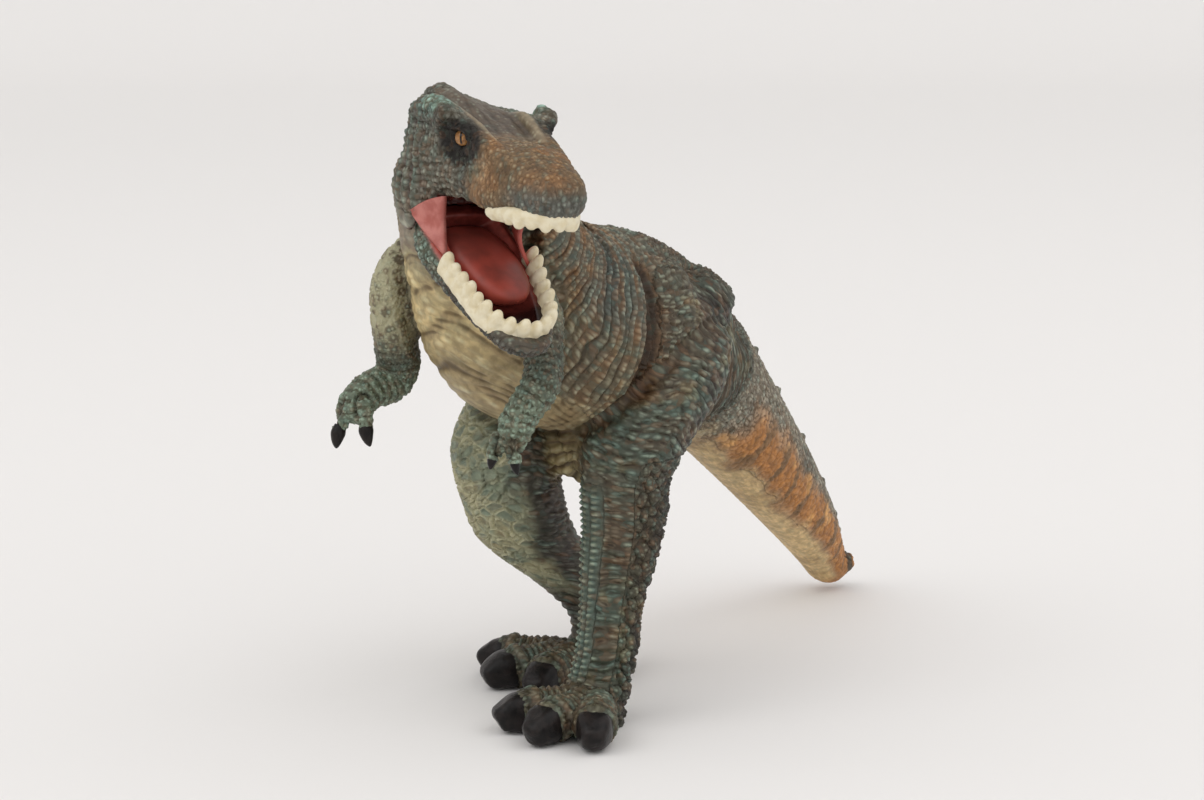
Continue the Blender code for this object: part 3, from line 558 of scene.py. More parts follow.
def lip_height(x):
    """How high the upper lip's edge runs over the hinge, along the head."""
    return np.interp(x, (1.0, 4.0, 9.0, 12.0, 16.0, 20.0, 27.0, 34.0),
                     (0.6, 2.8, 4.4, 4.9, 4.2, 3.3, 2.7, 3.0))


def mouth_cutter():
    xs = np.linspace(1.2, 40.0, 26)
    outline = [*zip(xs, lip_height(xs)), (40.0, -30.0), (6.0, -30.0), (1.2, -9.0)]
    n = len(outline)
    faces = [(k, (k + 1) % n, n + (k + 1) % n, n + k) for k in range(n)]
    faces += [tuple(range(n))[::-1], tuple(range(n, 2 * n))]
    return add_object("cutter", head([(x, side * 14.5, z) for side in (-1, 1) for x, z in outline]), faces)


def head_solid():
    """The head with its mouth open and room for the lower jaw to swing."""
    solid = remeshed(add_object("head_solid", *merged(head_meshes())), ROUGH_VOXEL)
    carved(solid, mouth_cutter())
    for hollow in (ROOF_HOLLOW, THROAT):
        carved(solid, add_object("cutter", *lofted(hollow, 3, head).mesh()))
    room, swept = np.array(JAW) + (0, 0, 0.5, 0.5), []
    for share in (0, 0.33, 0.67, 1):
        angle = GAPE - CLOSING * share
        swept.append(lofted(room, 3, lambda p, a=angle: jaw(p, a), power=2.5, sides=24).mesh())
    remeshed(solid, HEAD_VOXEL)
    return carved(solid, remeshed(add_object("cutter", *merged(swept)), SWING_VOXEL))


skull_solid = head_solid()
head_points = np.array([v.co[:] for v in skull_solid.data.vertices]) / MM
body_meshes = [(head_points, [tuple(p.vertices) for p in skull_solid.data.polygons]), spine_limb(1.7).mesh()]
bpy.data.objects.remove(skull_solid, do_unlink=True)
body_meshes += [limb.mesh() for name, limb in limbs.items() if name not in ("spine", "skull")]
body_meshes.append(ball_mesh(VENT + (-1.5, 0, 0), (10.5, 10.0, 10.8)))
body_meshes += [ball_mesh(hip, (7.4, 11.5, 7.6)) for hip in ((9.0, -1.0, 77.0), (-6.0, 0.5, 77.0))]
points, quads = taken(remeshed(add_object("whole", *merged(body_meshes)), SKIN_VOXEL))
points = relaxed(points, quads, 5)

# The forehead sinks towards the left, and the brow horns stand clear of it
h = in_head(points)
hx, hy, hz = h.T
lid = np.interp(hy, (-8, -4, 0, 4, 8, 12), (26.0, 22.8, 20.6, 19.8, 19.0, 18.8))
lid += np.clip(3.0 - hx, 0, 9) * np.interp(hy, (-4, 8), (0.30, 0.10))
lid -= 2.6 * near_to(h, (10.0, 0.5, 18.0), (11.0, 6.3, 9.0))
lid += 7.0 * near_to(h, (11.2, 11.6, 19.0), (5.0, 4.0, 9.0)) + 8.0 * ease(-10.0, -15.0, hx)
over = np.maximum(hz - lid, 0) * (points[:, 2] > BACK_HEIGHT)
points = relaxed(points - UP * 0.88 * over[:, None], quads, 2)
normals = normals_of(points, quads)

# Where each point is on the limbs
names = list(limbs)
found = [limb.locate(points) for limb in limbs.values()]
places = {name: place for name, (gap, place) in zip(names, found)}
gaps = np.stack([gap for gap, place in found], 1)
gaps[:, names.index("skull")] -= 0.1
weights = np.exp(-9.0 * (gaps - gaps.min(1, keepdims=True)))
weights /= weights.sum(1, keepdims=True)
share = dict(zip(names, weights.T))
legs = {side: sum(share[n] for n in names if n.startswith(side) and n.endswith(("_leg", "_toe")))
        for side in SIDES}
h = in_head(points)
hx, hy, hz = h.T
px, py, pz = points.T.copy()

# Relief: how high each point stands over the smooth form, and the paint on it
COUNT = len(points)
height = np.zeros(COUNT)
tops = np.zeros(COUNT)      # 0 in a groove and 1 on a top
rims = np.zeros(COUNT)      # 1 on a plate's pale edge
beads = np.ones(COUNT)      # how strongly the small beads show
grain = points / BEAD_SIZE  # where each point is among the small beads, one to each unit
paint = np.tile((0.13, 0.135, 0.10), (COUNT, 1))


def relief(weight, pattern, depth):
    height[:] += weight * depth * (pattern - LEVEL)
    tops[:] += weight * pattern


def mixed(base, weight, colour):
    return base + weight[:, None] * (np.array(colour) - base)


def tint(weight, colour):
    paint[:] = mixed(paint, np.clip(weight, 0, 1), colour)


def combed(where, *ways):
    """Lines the small beads up along given directions."""
    grain[where] = np.stack(ways, 1)[where]


def blotches(size, smaller, seed):
    return noise(points, size, seed) + 0.5 * noise(points, smaller, seed + 1)


warp, broad, spots = blotches(7.0, 3.0, 1), blotches(11.0, 5.0, 3), blotches(4.2, 1.9, 8)
fine, pebble, knobs = (scales(points, *kind) for kind in ((1.15, 11, 0.40), (1.6, 12, 0.32), (2.5, 13, 0.30)))

OLIVE, RUST, SLATE = (0.185, 0.170, 0.112), (0.27, 0.140, 0.055), (0.088, 0.102, 0.090)
MOSS, UMBER, SOOT = (0.125, 0.152, 0.100), (0.150, 0.102, 0.062), (0.022, 0.018, 0.015)
SEA, KHAKI, BUFF = (0.165, 0.235, 0.195), (0.40, 0.325, 0.165), (0.66, 0.515, 0.26)
AMBER_SKIN, PLATE_GREEN = (0.48, 0.215, 0.065), (0.235, 0.275, 0.195)

# The trunk: rings of beads round the neck, lumps over the hips, folds on the belly
spine = limbs["spine"]
spine_rows = np.arange(len(spine.at)) / SPINE_STEPS
neck_end, rib_at, tail_start = np.interp((NECK_END, RIB_ROW, TAIL_ROW), spine_rows, spine.at)
along, across, rise = places["spine"].T
row = np.interp(along, spine.at, spine_rows)
top = rise / (np.hypot(across, rise) + 1e-6)
trunk = share["spine"]
neck = trunk * (1 - ease(4.2, 5.2, row))
hips = trunk * ease(4.0, 5.0, row) * (1 - ease(6.5, 7.5, row))
tail = trunk * ease(6.3, 7.3, row)
under_edge = np.interp(row, (5.0, 6.0, 8.0, 10.0, 12.0), (-0.25, -0.75, -0.72, -0.50, -0.25))
under_edge -= 0.38 * ease(1.0, 9.0, across) * ease(6.0, 5.0, row)
under = ease(0.0, -0.35, top + 0.12 * warp - under_edge)
nape, belly = neck * (1 - under), trunk * (1 - tail) * under
RING_PITCH = 1.55
ring_at = (along + 1.1 * warp) / RING_PITCH
relief(nape, 0.62 * fold(ring_at) + 0.25 * fold((along + 1.8 * warp) / 5.6) + 0.13 * fine, 1.10)
combed(nape > 0.4, ring_at - 0.22, across / 1.1, rise / 1.1)
flank = trunk * ease(4.30, 4.55, row) * (1 - ease(6.3, 7.0, row + 0.2 * warp)) * (1 - under)
flank *= ease(0.80, 0.45, top) * (across != 0)
relief(hips * (1 - under) * (1 - flank), 0.55 * knobs + 0.45 * fine, 0.85)
relief(tail * (1 - under), 0.55 * pebble + 0.45 * fine, 0.40)
crease_way = points @ unit((0.30, 0.55, 0.95))
crease = fold(crease_way / 3.9 + 1.3 * noise(points, 15.0, 5) + 0.20 * noise(points, 4.0, 6))
small_crease = fold(crease_way / 1.3 + 1.5 * noise(points, 9.0, 15))
relief(belly, 0.55 * crease + 0.25 * small_crease + 0.20, 0.75)
relief(tail * under, 0.5 * fine + 0.4, 0.20)
height += hips * 1.2 * noise(points, 7.0, 7)
combed(belly > 0.5, crease_way / 1.1, px / 3.6, py / 3.6)
beads[belly > 0.5] = 0.30
tail_below = (tail > 0.5) & (under > 0.5)
combed(tail > 0.5, along / np.where(tail_below, 3.4, 1.5), across / 0.9, rise / 0.9)
beads[tail_below] = 0.40

tint(trunk, OLIVE)
tint(trunk * ease(0.0, 0.5, broad), SLATE)
tint(neck * 0.85, (0.205, 0.192, 0.145))
tint(neck * 0.7 * ease(0.25, 0.7, broad + 0.3 * spots), (0.125, 0.135, 0.110))
tint(tail, (0.350, 0.320, 0.250))
tint(tail * 0.6 * ease(0.1, 0.6, broad), (0.190, 0.210, 0.180))
stripe = np.cos(2 * pi * ring_at / 3.0)
tint(neck * 0.75 * ease(0.3, 0.9, stripe + 0.8 * spots), RUST)
tint(neck * 0.5 * ease(0.4, 0.9, 0.8 * broad - stripe), (0.120, 0.160, 0.135))
from_fold = (along - rib_at) * (across > 0)
tint(nape * 0.6 * band(from_fold, -13.0, 3.5), (0.075, 0.088, 0.082))
tint(nape * 0.7 * band(from_fold, -21.0, 3.5) * ease(-0.4, 0.3, spots), RUST)
tint(hips * 0.5, (0.095, 0.100, 0.082))
tint(hips * ease(0.1, 0.6, spots), (0.115, 0.082, 0.055))
tint(belly, BUFF)
throat = trunk * under * ease(84.0, 90.0, pz + 1.5 * warp - 5.0 * ease(0.0, -8.0, across))
tint(throat * 0.85, (0.185, 0.140, 0.105))
tint(throat * 0.6 * ease(0.2, 0.7, spots + broad), SEA)
tint(belly * 0.7 * ease(0.0, 0.8, spots + broad), KHAKI)
tint(nape * 0.5 * ease(0.1, -0.25, top), (0.22, 0.165, 0.08))
tint(belly * 0.4 * ease(0.35, 0.10, crease), (0.27, 0.19, 0.09))
tint(trunk * under * 0.75 * ease(3.1, 4.0, row) * (1 - ease(5.0, 6.5, row)), (0.24, 0.160, 0.095))
tint(belly * 0.65 * ease(81.0, 70.0, pz + 1.2 * warp), (0.215, 0.165, 0.088))
shoulder = nape * ease(1.0, -5.0, across) * ease(93.0, 87.0, pz + warp)
tint(shoulder * 0.8 * ease(0.55, 0.15, top), (0.56, 0.47, 0.27))

# The tail: grey-green above, amber blotches between dark bars on the sides, cream below
amber_low = np.interp(row, (7.0, 8.5, 10.0, 11.5, 12.5), (-0.95, -0.78, -0.66, -0.56, -0.48))
amber_high = np.interp(row, (7.0, 9.0, 12.0), (-0.15, 0.20, 0.60))
above_cream = ease(-0.20, 0.16, top + 0.13 * warp + 0.06 * spots - amber_low)
cream = tail * (1 - above_cream)
amber = tail * above_cream * (1 - ease(-0.2, 0.2, top + 0.25 * warp - amber_high))
amber *= ease(7.0, 7.8, row + 0.4 * warp)
tint(cream, (0.72, 0.53, 0.27))
tint(cream * 0.45 * ease(0.1, 0.8, broad + 0.6 * spots), (0.42, 0.27, 0.11))
tint(amber, AMBER_SKIN)
beads[amber > 0.4] = 0.15
calm = 0.75 * np.clip(amber + cream, 0, 1)
tops += calm * (0.42 - tops)
tint(amber * 0.6 * ease(0.35, 0.8, -spots), (0.80, 0.46, 0.17))
bars = ease(0.62, 0.92, np.cos(2 * pi * (along + 3.4 * warp + 2.5 * top) / 9.5) + 0.25 * spots)
tint(amber * np.maximum(bars * 0.8, 0.4 * ease(0.7, 1.1, spots)), (0.190, 0.120, 0.060))
tip = tail * ease(11.6, 12.2, row)
tint(tip, AMBER_SKIN)
tint(tip * ease(12.6, 12.9, row) * (1 - ease(13.3, 13.6, row)), (0.10, 0.075, 0.05))
for k in range(6):
    nub = spine.rows[int(SPINE_STEPS * (7.4 + 0.75 * k))]
    lump = near_to(points, nub[:3] + np.array((0.45, 0.57, 0.69)) * nub[4], 1.7)
    height += 1.2 * lump
    tint(lump * 0.6, SEA)

# The legs: long wrinkles on the thigh, plates with pale rims on the right, a scaled ridge on the left shin
for name, side in SIDES.items():
    down, aside, back = places[name + "_leg"].T
    here = share[name + "_leg"] + flank * (across * side > 0)
    thigh = 1 - ease(26.0, 44.0, down)
    slant = 0.10 * back + thigh * (0.017 * (back + 11.0) * np.abs(back + 11.0) + 0.22 * side * aside)
    level = down - slant + 0.8 * warp
    strips = scales(np.stack([level / 1.45, aside / 5.6, back / 5.6], 1), 1.0, 21, 0.30)
    lines = fold(level / 1.75) * (0.75 + 0.25 * fold((aside + 2.0 * warp) / 5.0))
    streaks = fold(level / 1.7 + 0.5 * spots)
    wrinkle = 0.15 + 0.45 * (lines + thigh * (streaks - lines)) + 0.40 * strips
    combed(here > 0.4, level / 0.95, aside / 2.3, back / 2.3)
    if name == "right":
        outer = ease(5.5, 1.0, aside + 0.4 * back + 2.0 * warp)
        outer *= ease(8.0, 16.0, down) * (1 - ease(50, 60, down))
        plated, plain = here * outer, here * (1 - outer)
        wide = np.interp(aside, (-12.0, -4.0, 8.0), (0.0, 1.4, 6.0))
        edge = cells(np.stack([level / 2.0, wide, back / 4.6], 1), 1.0, 22)[0]
        plates = ease(0.0, 0.14, edge) * (1 - 0.35 * ease(0.14, 0.50, edge))
        height += plated * 1.05 * (plates - LEVEL)
        tops += plated * (0.45 + 0.30 * ease(0.25, 0.05, edge))
        relief(plain, wrinkle, 0.75)
        rims += plated * (1 - ease(0.12, 0.34, edge)) * ease(-1.0, 0.2, spots)
        beads[plated > 0.5] = 0.5
        tint(here, (0.095, 0.112, 0.078))
        tint(plain, (0.088, 0.084, 0.064))
        tint(plain * 0.6 * ease(0.0, 0.5, spots), (0.082, 0.062, 0.054))
        tint(plated, PLATE_GREEN)
        tint(plated * 0.6 * ease(0.2, 0.9, spots + broad), KHAKI)
        continue
    rear = ease(0.5, 3.2, 0.54 * back + 0.84 * aside) * ease(22.0, 30.0, down)
    ridge_turn = np.degrees(np.arctan2(aside + 1.8, -back))
    ridge = ease(33, 22, np.abs(ridge_turn + 12.0)) * ease(26.0, 34.0, down)
    on_ridge, beyond = here * ridge, here * (1 - ridge)
    ridge_down, ridge_across = down / 1.2, (ridge_turn + 5.0) / 19.0
    small = fold(ridge_down) * fold(ridge_across)
    relief(beyond * (1 - rear), wrinkle, 0.85)
    relief(beyond * rear, 0.75 * knobs + 0.25 * fine, 1.2)
    combed(beyond * rear > 0.4, *(points / 0.95).T)
    relief(on_ridge, 0.2 + 0.8 * small, 0.85)
    rims += 0.30 * on_ridge * ease(0.6, 0.95, small)
    height += 0.55 * on_ridge
    tint(here, (0.088, 0.104, 0.074))
    tint(here * 0.6 * ease(0.1, 0.6, broad), (0.125, 0.085, 0.050))
    tint(here * 0.85 * ease(-1.0, 5.0, back + 0.4 * aside + 1.5 * warp), (0.048, 0.038, 0.035))
    tint(here * thigh * 0.6 * ease(0.50, 0.90, wrinkle), (0.185, 0.225, 0.180))
    tint(here * thigh * 0.5 * ease(0.40, 0.15, wrinkle), (0.090, 0.060, 0.040))
    bands = noise(np.stack([level, aside / 4, back / 4], 1), 1.9, 23)
    tint(here * (1 - rear) * 0.6 * ease(0.05, 0.4, bands), (0.145, 0.102, 0.064))
    tint(here * (1 - rear) * 0.5 * ease(0.1, 0.45, -bands), (0.100, 0.140, 0.112))
    tint(here * 0.5 * ease(12.0, 4.0, down) * ease(3.0, -4.0, back), UMBER)
    tint(here * 0.25 * ease(0.3, 0.8, spots), KHAKI)
    tint(on_ridge * 0.9, (0.145, 0.205, 0.170))
    combed(on_ridge > 0.4, ridge_down - 0.2, ridge_across - 0.2, np.zeros(COUNT))

for name in names:
    here, (out, aside, back) = share[name], places[name].T
    if name.endswith("_toe"):
        rings = (out + 0.3 * warp) / 1.65
        relief(here, 0.65 * fold(rings) + 0.35 * fine, 0.75)
        combed(here > 0.5, rings * 2, aside / 1.3, back / 1.3)
        tint(here, (0.115, 0.110, 0.070))
        tint(here * 0.7 * ease(0.1, 0.6, spots), UMBER)
        tint(here * 0.5 * ease(0.2, 0.7, -spots), SEA)
    if name.endswith("_arm"):
        pale = name == "right_arm"
        root = 1 - ease(10.0 + 5.0 * pale, 17.0 + 6.0 * pale, out)
        edge = cells(points, 2.3, 27)[0]
        relief(here * root, 0.35 + 0.65 * ease(0.0, 0.2, edge), 0.70)
        rims += here * root * (0.35 + 0.5 * pale) * (1 - ease(0.12, 0.30, edge))
        relief(here * (1 - root), 0.45 * fold((out + 0.8 * warp) / 1.8) + 0.55 * fine, 0.60)
        tint(here, (0.125, 0.145, 0.110))
        tint(here * 0.5 * ease(0.1, 0.7, spots), UMBER)
        tint(here * root * 0.75, (0.400, 0.355, 0.220) if pale else (0.185, 0.210, 0.155))
        tint(here * 0.8 * ease(22.0, 30.0, out), (0.290, 0.380, 0.285))
    if name.endswith("_finger"):
        relief(here, 0.5 * fold(out / 1.5) + 0.5 * fine, 0.35)
        tint(here, (0.27, 0.35, 0.265))

# Dark folds where the limbs leave the trunk, and behind the ribs: sunk in and darkened with painted shade.
# The fold behind the ribs is painted orange-brown, with painted shade down its middle.
for limb_share in (legs["left"], legs["right"], share["left_arm"], share["right_arm"]):
    joint = ease(0.55, 1.0, 4 * limb_share * np.clip(1 - limb_share, 0, 1)) * (1 - np.clip(flank, 0, 1))
    height -= 0.9 * joint
    # Painted shade in the fold where the limb leaves the trunk.
    tint(joint * 0.75, (0.085, 0.050, 0.022))
rib_fold = trunk * band(along - 1.2 * warp, rib_at, 2.7) * ease(0.85, 0.55, top) * ease(-0.80, -0.50, top)
height -= 2.0 * rib_fold
tint(ease(0.05, 0.5, rib_fold) * 0.8, (0.165, 0.080, 0.028))
# Painted shade down the middle of the fold behind the ribs.
tint(ease(0.3, 0.9, rib_fold) * 0.9, (0.115, 0.078, 0.045))
tops *= 1 - np.clip(rib_fold, 0, 1)

# The vent: khaki, with level folds and a painted shadow under the belly
vent = near_to(points, VENT + (-1.5, -2.0, -2.0), (13.0, 14.0, 15.0)) * (1 - legs["left"] * 0.6)
vent *= ease(-11.0, -17.0, py)
on_vent = ease(0.1, 0.4, vent)
vent_folds = fold((pz + 0.8 * warp) / 2.6)
height += on_vent * 0.9 * (vent_folds - 0.5)
tint(on_vent, KHAKI)
# Painted shadow: the vent darkens towards its top, under the belly.
tint(on_vent * 0.9 * ease(49.0, 57.0, pz - 0.3 * px), (0.070, 0.052, 0.024))
tint(on_vent * 0.6 * ease(0.5, 0.15, vent_folds), UMBER)
beads[vent > 0.25] = 0.35
tops += on_vent * (0.3 + 0.7 * vent_folds - tops)

# The head: small scales on the snout, pebbles elsewhere, black round the eyes
on_skull = share["skull"]
skull = on_skull + neck * ease(1.4, 0.6, row)
ahead = ease(13, 19, hx)
snout = ahead * on_skull
forehead = ease(13.0, 16.5, hz + 0.5 * warp) * ease(8.0, 5.5, np.abs(hy)) * skull
forehead *= ease(-3.0, 3.0, hx) * ease(19.0, 13.0, hx + 0.8 * warp)
crown_folds = fold(hz / 1.6 + 0.8 * warp) * 0.6 + 0.4 * fine
ridges = np.zeros(COUNT)
for side in (-1, 1):
    for end in ((2.0, side * 7.8, 21.0), (21.5, side * 4.6, 14.6)):
        ridges = np.maximum(ridges, beside(h, (12.5, side * 5.6, 18.2), end, 1.5))
ridges *= on_skull * ease(21.0, 13.0, hx)
on_ridges = ease(0.0, 0.4, ridges)
horns = np.maximum(*(near_to(h, (10.5, side * 11.0, 19.0), (4.5, 3.5, 4.0)) for side in (-1, 1)))
rest = on_skull * (1 - forehead) * (1 - on_ridges) * (1 - 0.7 * horns)
relief(rest * ahead, 0.25 + 0.75 * scales(h * (1.0, 1.0, 0.7), 1.05, 31, 0.40), 0.32)
relief(rest * (1 - ahead), 0.5 * fine + 0.5 * crown_folds, 0.50)
furrows = fold((hy + 0.12 * hx) / 2.6 + 0.35 * warp)
relief(on_skull * forehead, 0.35 + 0.4 * furrows, 0.45)
relief(on_skull * (1 - forehead) * on_ridges, 0.5 + 0.3 * furrows, 0.3)
height += 0.7 * ridges
combed(on_skull > 0.4, hx / 0.9, hy / 0.9, hz / 1.15)
beads[forehead > 0.5] = 0.25
beads[snout > 0.5] = 0.8
tint(skull * 0.9, (0.235, 0.225, 0.180))
tint(skull * 0.6 * ease(0.1, 0.6, broad), SLATE)
tint(forehead * 0.9, (0.105, 0.078, 0.056))
tint(forehead * 0.5 * ease(0.2, 0.7, spots), (0.085, 0.066, 0.052))
tint(snout, (0.225, 0.145, 0.074))
tint(snout * 0.85 * ease(0.0, 0.5, spots + 0.3 * broad), (0.29, 0.150, 0.060))
tint(snout * 0.9 * near_to(h, (17.5, -7.5, 9.5), (5.5, 5.0, 6.5)), (0.40, 0.255, 0.140))
tint(snout * 0.8 * ease(0.10, 0.5, broad - 0.3 * spots), MOSS)
tint(snout * 0.85 * ease(10.5, 6.0, hz) * ease(23, 29, hx + 0.5 * warp), (0.130, 0.150, 0.138))
for side in (-1, 1):
    tint(near_to(h, (5.0, side * 9.5, 20.5), (7.5, 4.5, 3.6)) * 0.9, (0.21, 0.37, 0.32))
    for spot in ((4.0, side * 9.8, 21.0), (8.0, side * 10.0, 20.4)):
        lump = near_to(h, spot, 2.8)
        height += lump
        tint(ease(0.0, 0.4, lump) * 0.95, (0.34, 0.50, 0.42))
    height -= 1.9 * near_to(h, (12.5, side * 10.2, 14.8), (5.5, 4.6, 3.6))
    height -= 0.9 * near_to(h, (11.5, side * 10.5, 11.0), (6.0, 4.6, 3.6))
    drape = ease(5.0, 0.0, hx) * ease(6.0, 8.5, side * hy) * on_skull
    pleats = fold(hx / 2.9 + 0.35 * warp)
    height += drape * 0.9 * (pleats - 0.5)
    tint(drape * 0.8 * ease(0.5, 0.2, pleats), (0.150, 0.105, 0.095))
    tint(drape * 0.6 * ease(0.7, 0.95, pleats), (0.20, 0.28, 0.235))
    height += 0.55 * band(np.linalg.norm(h - (12.2, side * 8.6, 15.3), axis=1), 2.3, 0.45)
    recess = near_to(h, (9.0, side * 8.3, 16.8), (4.2, 2.6, 2.6)) * (side > 0)
    height -= 1.2 * recess
    tint(ease(0.0, 0.5, recess) * 0.9, SOOT)
    hollow = near_to(h, (13.0, side * 9.4, 14.4), (7.8, 6.6, 6.2))
    tint(ease(0.0, 0.40, hollow) * 0.96, SOOT)
    tops *= 1 - 0.8 * ease(0.1, 0.5, hollow)
    tint(0.7 * ease(0.0, 0.3, hollow) * ease(13.8, 11.5, hz) * ease(0.55, 0.85, fine), (0.20, 0.26, 0.23))
tint(ease(0.0, 0.5, ridges) * 0.85, (0.28, 0.225, 0.145))
beads[ridges > 0.15] = 0.25

points = points + normals * height[:, None]
points[:, 2] = np.maximum(points[:, 2], 0.0)
normals = normals_of(points, quads)

# The mouth's inside is wet flesh, down to a height below the hinge that is measured as the closed jaw lies
LINING_FLOOR = -4.5
mouth_in = np.abs(hy) < np.interp(hx, (0, 8, 20, 29, 32), (9.6, 7.0, 5.9, 3.8, 1.5))
mouth_in &= within(hx, -7, 31) & within(hz, -8.5, lip_height(hx) + 4.2)
facing_in = -np.sign(hy) * (normals @ LEFT) > 0.15
mouth_in |= facing_in & (np.abs(hy) < 11) & within(hx, -5, 13) & within(hz, -8, 5.6)
mouth_in &= h @ (sin(GAPE - CLOSING), 0, cos(GAPE - CLOSING)) > LINING_FLOOR
wet = spread(mouth_in * (on_skull + trunk > 0.5), quads, 3)
tint(wet, (0.115, 0.022, 0.016))
# Painted shade: the wet flesh darkens towards the back of the mouth.
tint(wet * 0.8 * ease(18.0, 6.0, hx), (0.060, 0.015, 0.012))

# The skin parted along the castings, each point on its nearest limb's
CASTINGS = ("head", "torso", "tail", "left_leg", "right_leg", "left_arm", "right_arm")
nearest = gaps.argmin(1)
owner = np.zeros(COUNT, int)
for i, name in enumerate(names):
    if name == "spine":
        casting = np.digitize(along, (neck_end, tail_start))
    elif name == "skull":
        casting = CASTINGS.index("head")
    else:
        kind = "_arm" if name.endswith(("_arm", "_finger")) else "_leg"
        casting = CASTINGS.index(name.split("_")[0] + kind)
    owner = np.where(nearest == i, casting, owner)
face_owner = owner[quads[:, 0]]


class Shader:
    """A material's nodes, made by short calls that return sockets."""

    def __init__(self, name, roughness, specular=0.32):
        self.material = bpy.data.materials.new(name)
        self.material.use_nodes = True
        self.tree = self.material.node_tree
        self.surface = self.tree.nodes["Principled BSDF"]
        self.surface.inputs["Roughness"].default_value = roughness
        self.surface.inputs["Specular IOR Level"].default_value = specular
        self.places = self.node("ShaderNodeTexCoord").outputs["Object"]

    def node(self, kind, **settings):
        made = self.tree.nodes.new(kind)
        for key, value in settings.items():
            setattr(made, key, value)
        return made

    def put(self, socket, value):
        if isinstance(value, bpy.types.NodeSocket):
            self.tree.links.new(value, socket)
        elif isinstance(value, tuple) and len(value) == 3 and socket.type == "RGBA":
            socket.default_value = (*value, 1)
        else:
            socket.default_value = value

    def filled(self, made, values, output=0):
        """Fills a node's inputs, by number or name, and gives one of its outputs."""
        for key, value in values.items():
            self.put(made.inputs[key], value)
        return made.outputs[output]

    def attribute(self, name, output="Fac"):
        return self.node("ShaderNodeAttribute", attribute_name=name).outputs[output]

    def mix(self, share, a, b, blend="MIX"):
        made = self.node("ShaderNodeMix", data_type="RGBA", blend_type=blend)
        return self.filled(made, {0: share, 6: a, 7: b}, 2)

    def math(self, operation, a, b=0.0):
        return self.filled(self.node("ShaderNodeMath", operation=operation), {0: a, 1: b})

    def times(self, a, b):
        return self.math("MULTIPLY", a, b)

    def ramp(self, value, low, high, start=0.0, stop=1.0):
        made = self.node("ShaderNodeMapRange", interpolation_type="SMOOTHSTEP")
        return self.filled(made, dict(enumerate((value, low, high, start, stop))))

    def split(self, vector):
        return self.filled(self.node("ShaderNodeSeparateXYZ"), {0: vector}).node.outputs

    def noise(self, size, detail=3.0, offset=0.0):
        """Noise with features of a size in millimetres."""
        places = self.places
        if offset:
            made = self.node("ShaderNodeVectorMath", operation="ADD")
            places = self.filled(made, {0: places, 1: (offset, offset * 2, offset * 3)})
        values = {"Vector": places, "Scale": 1 / (size * MM), "Detail": detail}
        return self.filled(self.node("ShaderNodeTexNoise"), values, "Fac")

    def bump(self, height, depth, strength, **after):
        values = {"Height": height, "Distance": depth * MM, "Strength": strength, **after}
        return self.filled(self.node("ShaderNodeBump"), values, "Normal")

    def finish(self, colour, **inputs):
        self.filled(self.surface, {"Base Color": colour, **inputs})
        return self.material


FLESH, TONGUE_FLESH = (0.060, 0.012, 0.009), (0.33, 0.055, 0.038)
PINK, CHEEK_RED = (0.52, 0.190, 0.160), (0.50, 0.105, 0.080)
IVORY, HORN = (0.78, 0.71, 0.53), (0.010, 0.009, 0.009)
WASH, DRY_BRUSH, RIM_PAINT = (0.27, 0.22, 0.165), (0.125, 0.150, 0.115), (0.50, 0.48, 0.31)
TEAL_FLECK, BROWN_FLECK = (0.120, 0.210, 0.180), (0.230, 0.125, 0.065)


def skin_material():
    """Paint in three layers: a ground colour, a dark wash in the grooves and a pale brush on the tops."""
    s = Shader("painted_skin", 0.5)
    tops, wet, strength = s.attribute("tops"), s.attribute("wet"), s.attribute("beads")
    dry = s.math("SUBTRACT", 1.0, wet)
    strays = s.times(strength, dry)
    shade = s.ramp(s.noise(1.6, 4.0), 0.35, 0.65, 0.78, 1.12)
    ground = s.mix(1.0, s.attribute("paint", "Color"), shade, "MULTIPLY")
    cell = s.node("ShaderNodeTexVoronoi")
    layout = {"Vector": s.attribute("grain", "Vector"), "Scale": 1.0, "Randomness": 0.6}
    bead = s.filled(cell, layout, "Distance")
    chance = s.split(cell.outputs["Color"])
    teal = s.times(s.ramp(chance[0], 0.74, 0.84), 0.30)
    ground = s.mix(s.times(teal, strays), ground, TEAL_FLECK)
    brown = s.times(s.ramp(chance[1], 0.72, 0.82), 0.35)
    ground = s.mix(s.times(brown, strays), ground, BROWN_FLECK)
    groove = s.times(s.ramp(tops, 0.55, 0.15), 0.92)
    crack = s.times(s.times(s.ramp(bead, 0.34, 0.60), 0.62), strength)
    wash = s.times(s.math("MAXIMUM", groove, crack), dry)
    base = s.mix(wash, ground, s.mix(1.0, ground, WASH, "MULTIPLY"))
    brush = s.times(s.ramp(tops, 0.50, 0.85), s.ramp(bead, 0.48, 0.15))
    brush = s.times(brush, s.ramp(s.noise(2.6, 4.0, offset=0.013), 0.34, 0.62, 0.25, 1.0))
    base = s.mix(s.times(brush, dry), base, s.mix(1.0, ground, DRY_BRUSH, "ADD"))
    base = s.mix(s.times(s.attribute("rims"), 0.85), base, RIM_PAINT)
    bumps = s.bump(s.times(s.ramp(bead, 0.10, 0.58, 1.0, 0.0), strays), 0.24, 0.9)
    return s.finish(base, Roughness=s.ramp(wet, 0.3, 0.9, 0.50, 0.24),
                    Normal=s.bump(s.noise(0.35, 2.0), 0.04, 0.6, Normal=bumps))


def gloss_material(name, colour, other, roughness, size=4.0, depth=0.05, **inputs):
    """Two close colours in soft patches, with a fine bump."""
    s = Shader(name, roughness, inputs.pop("specular", 0.32))
    base = s.mix(s.ramp(s.noise(size, 4.0), 0.35, 0.65), colour, other)
    return s.finish(base, Normal=s.bump(s.noise(size / 4), depth, 0.6), **inputs)


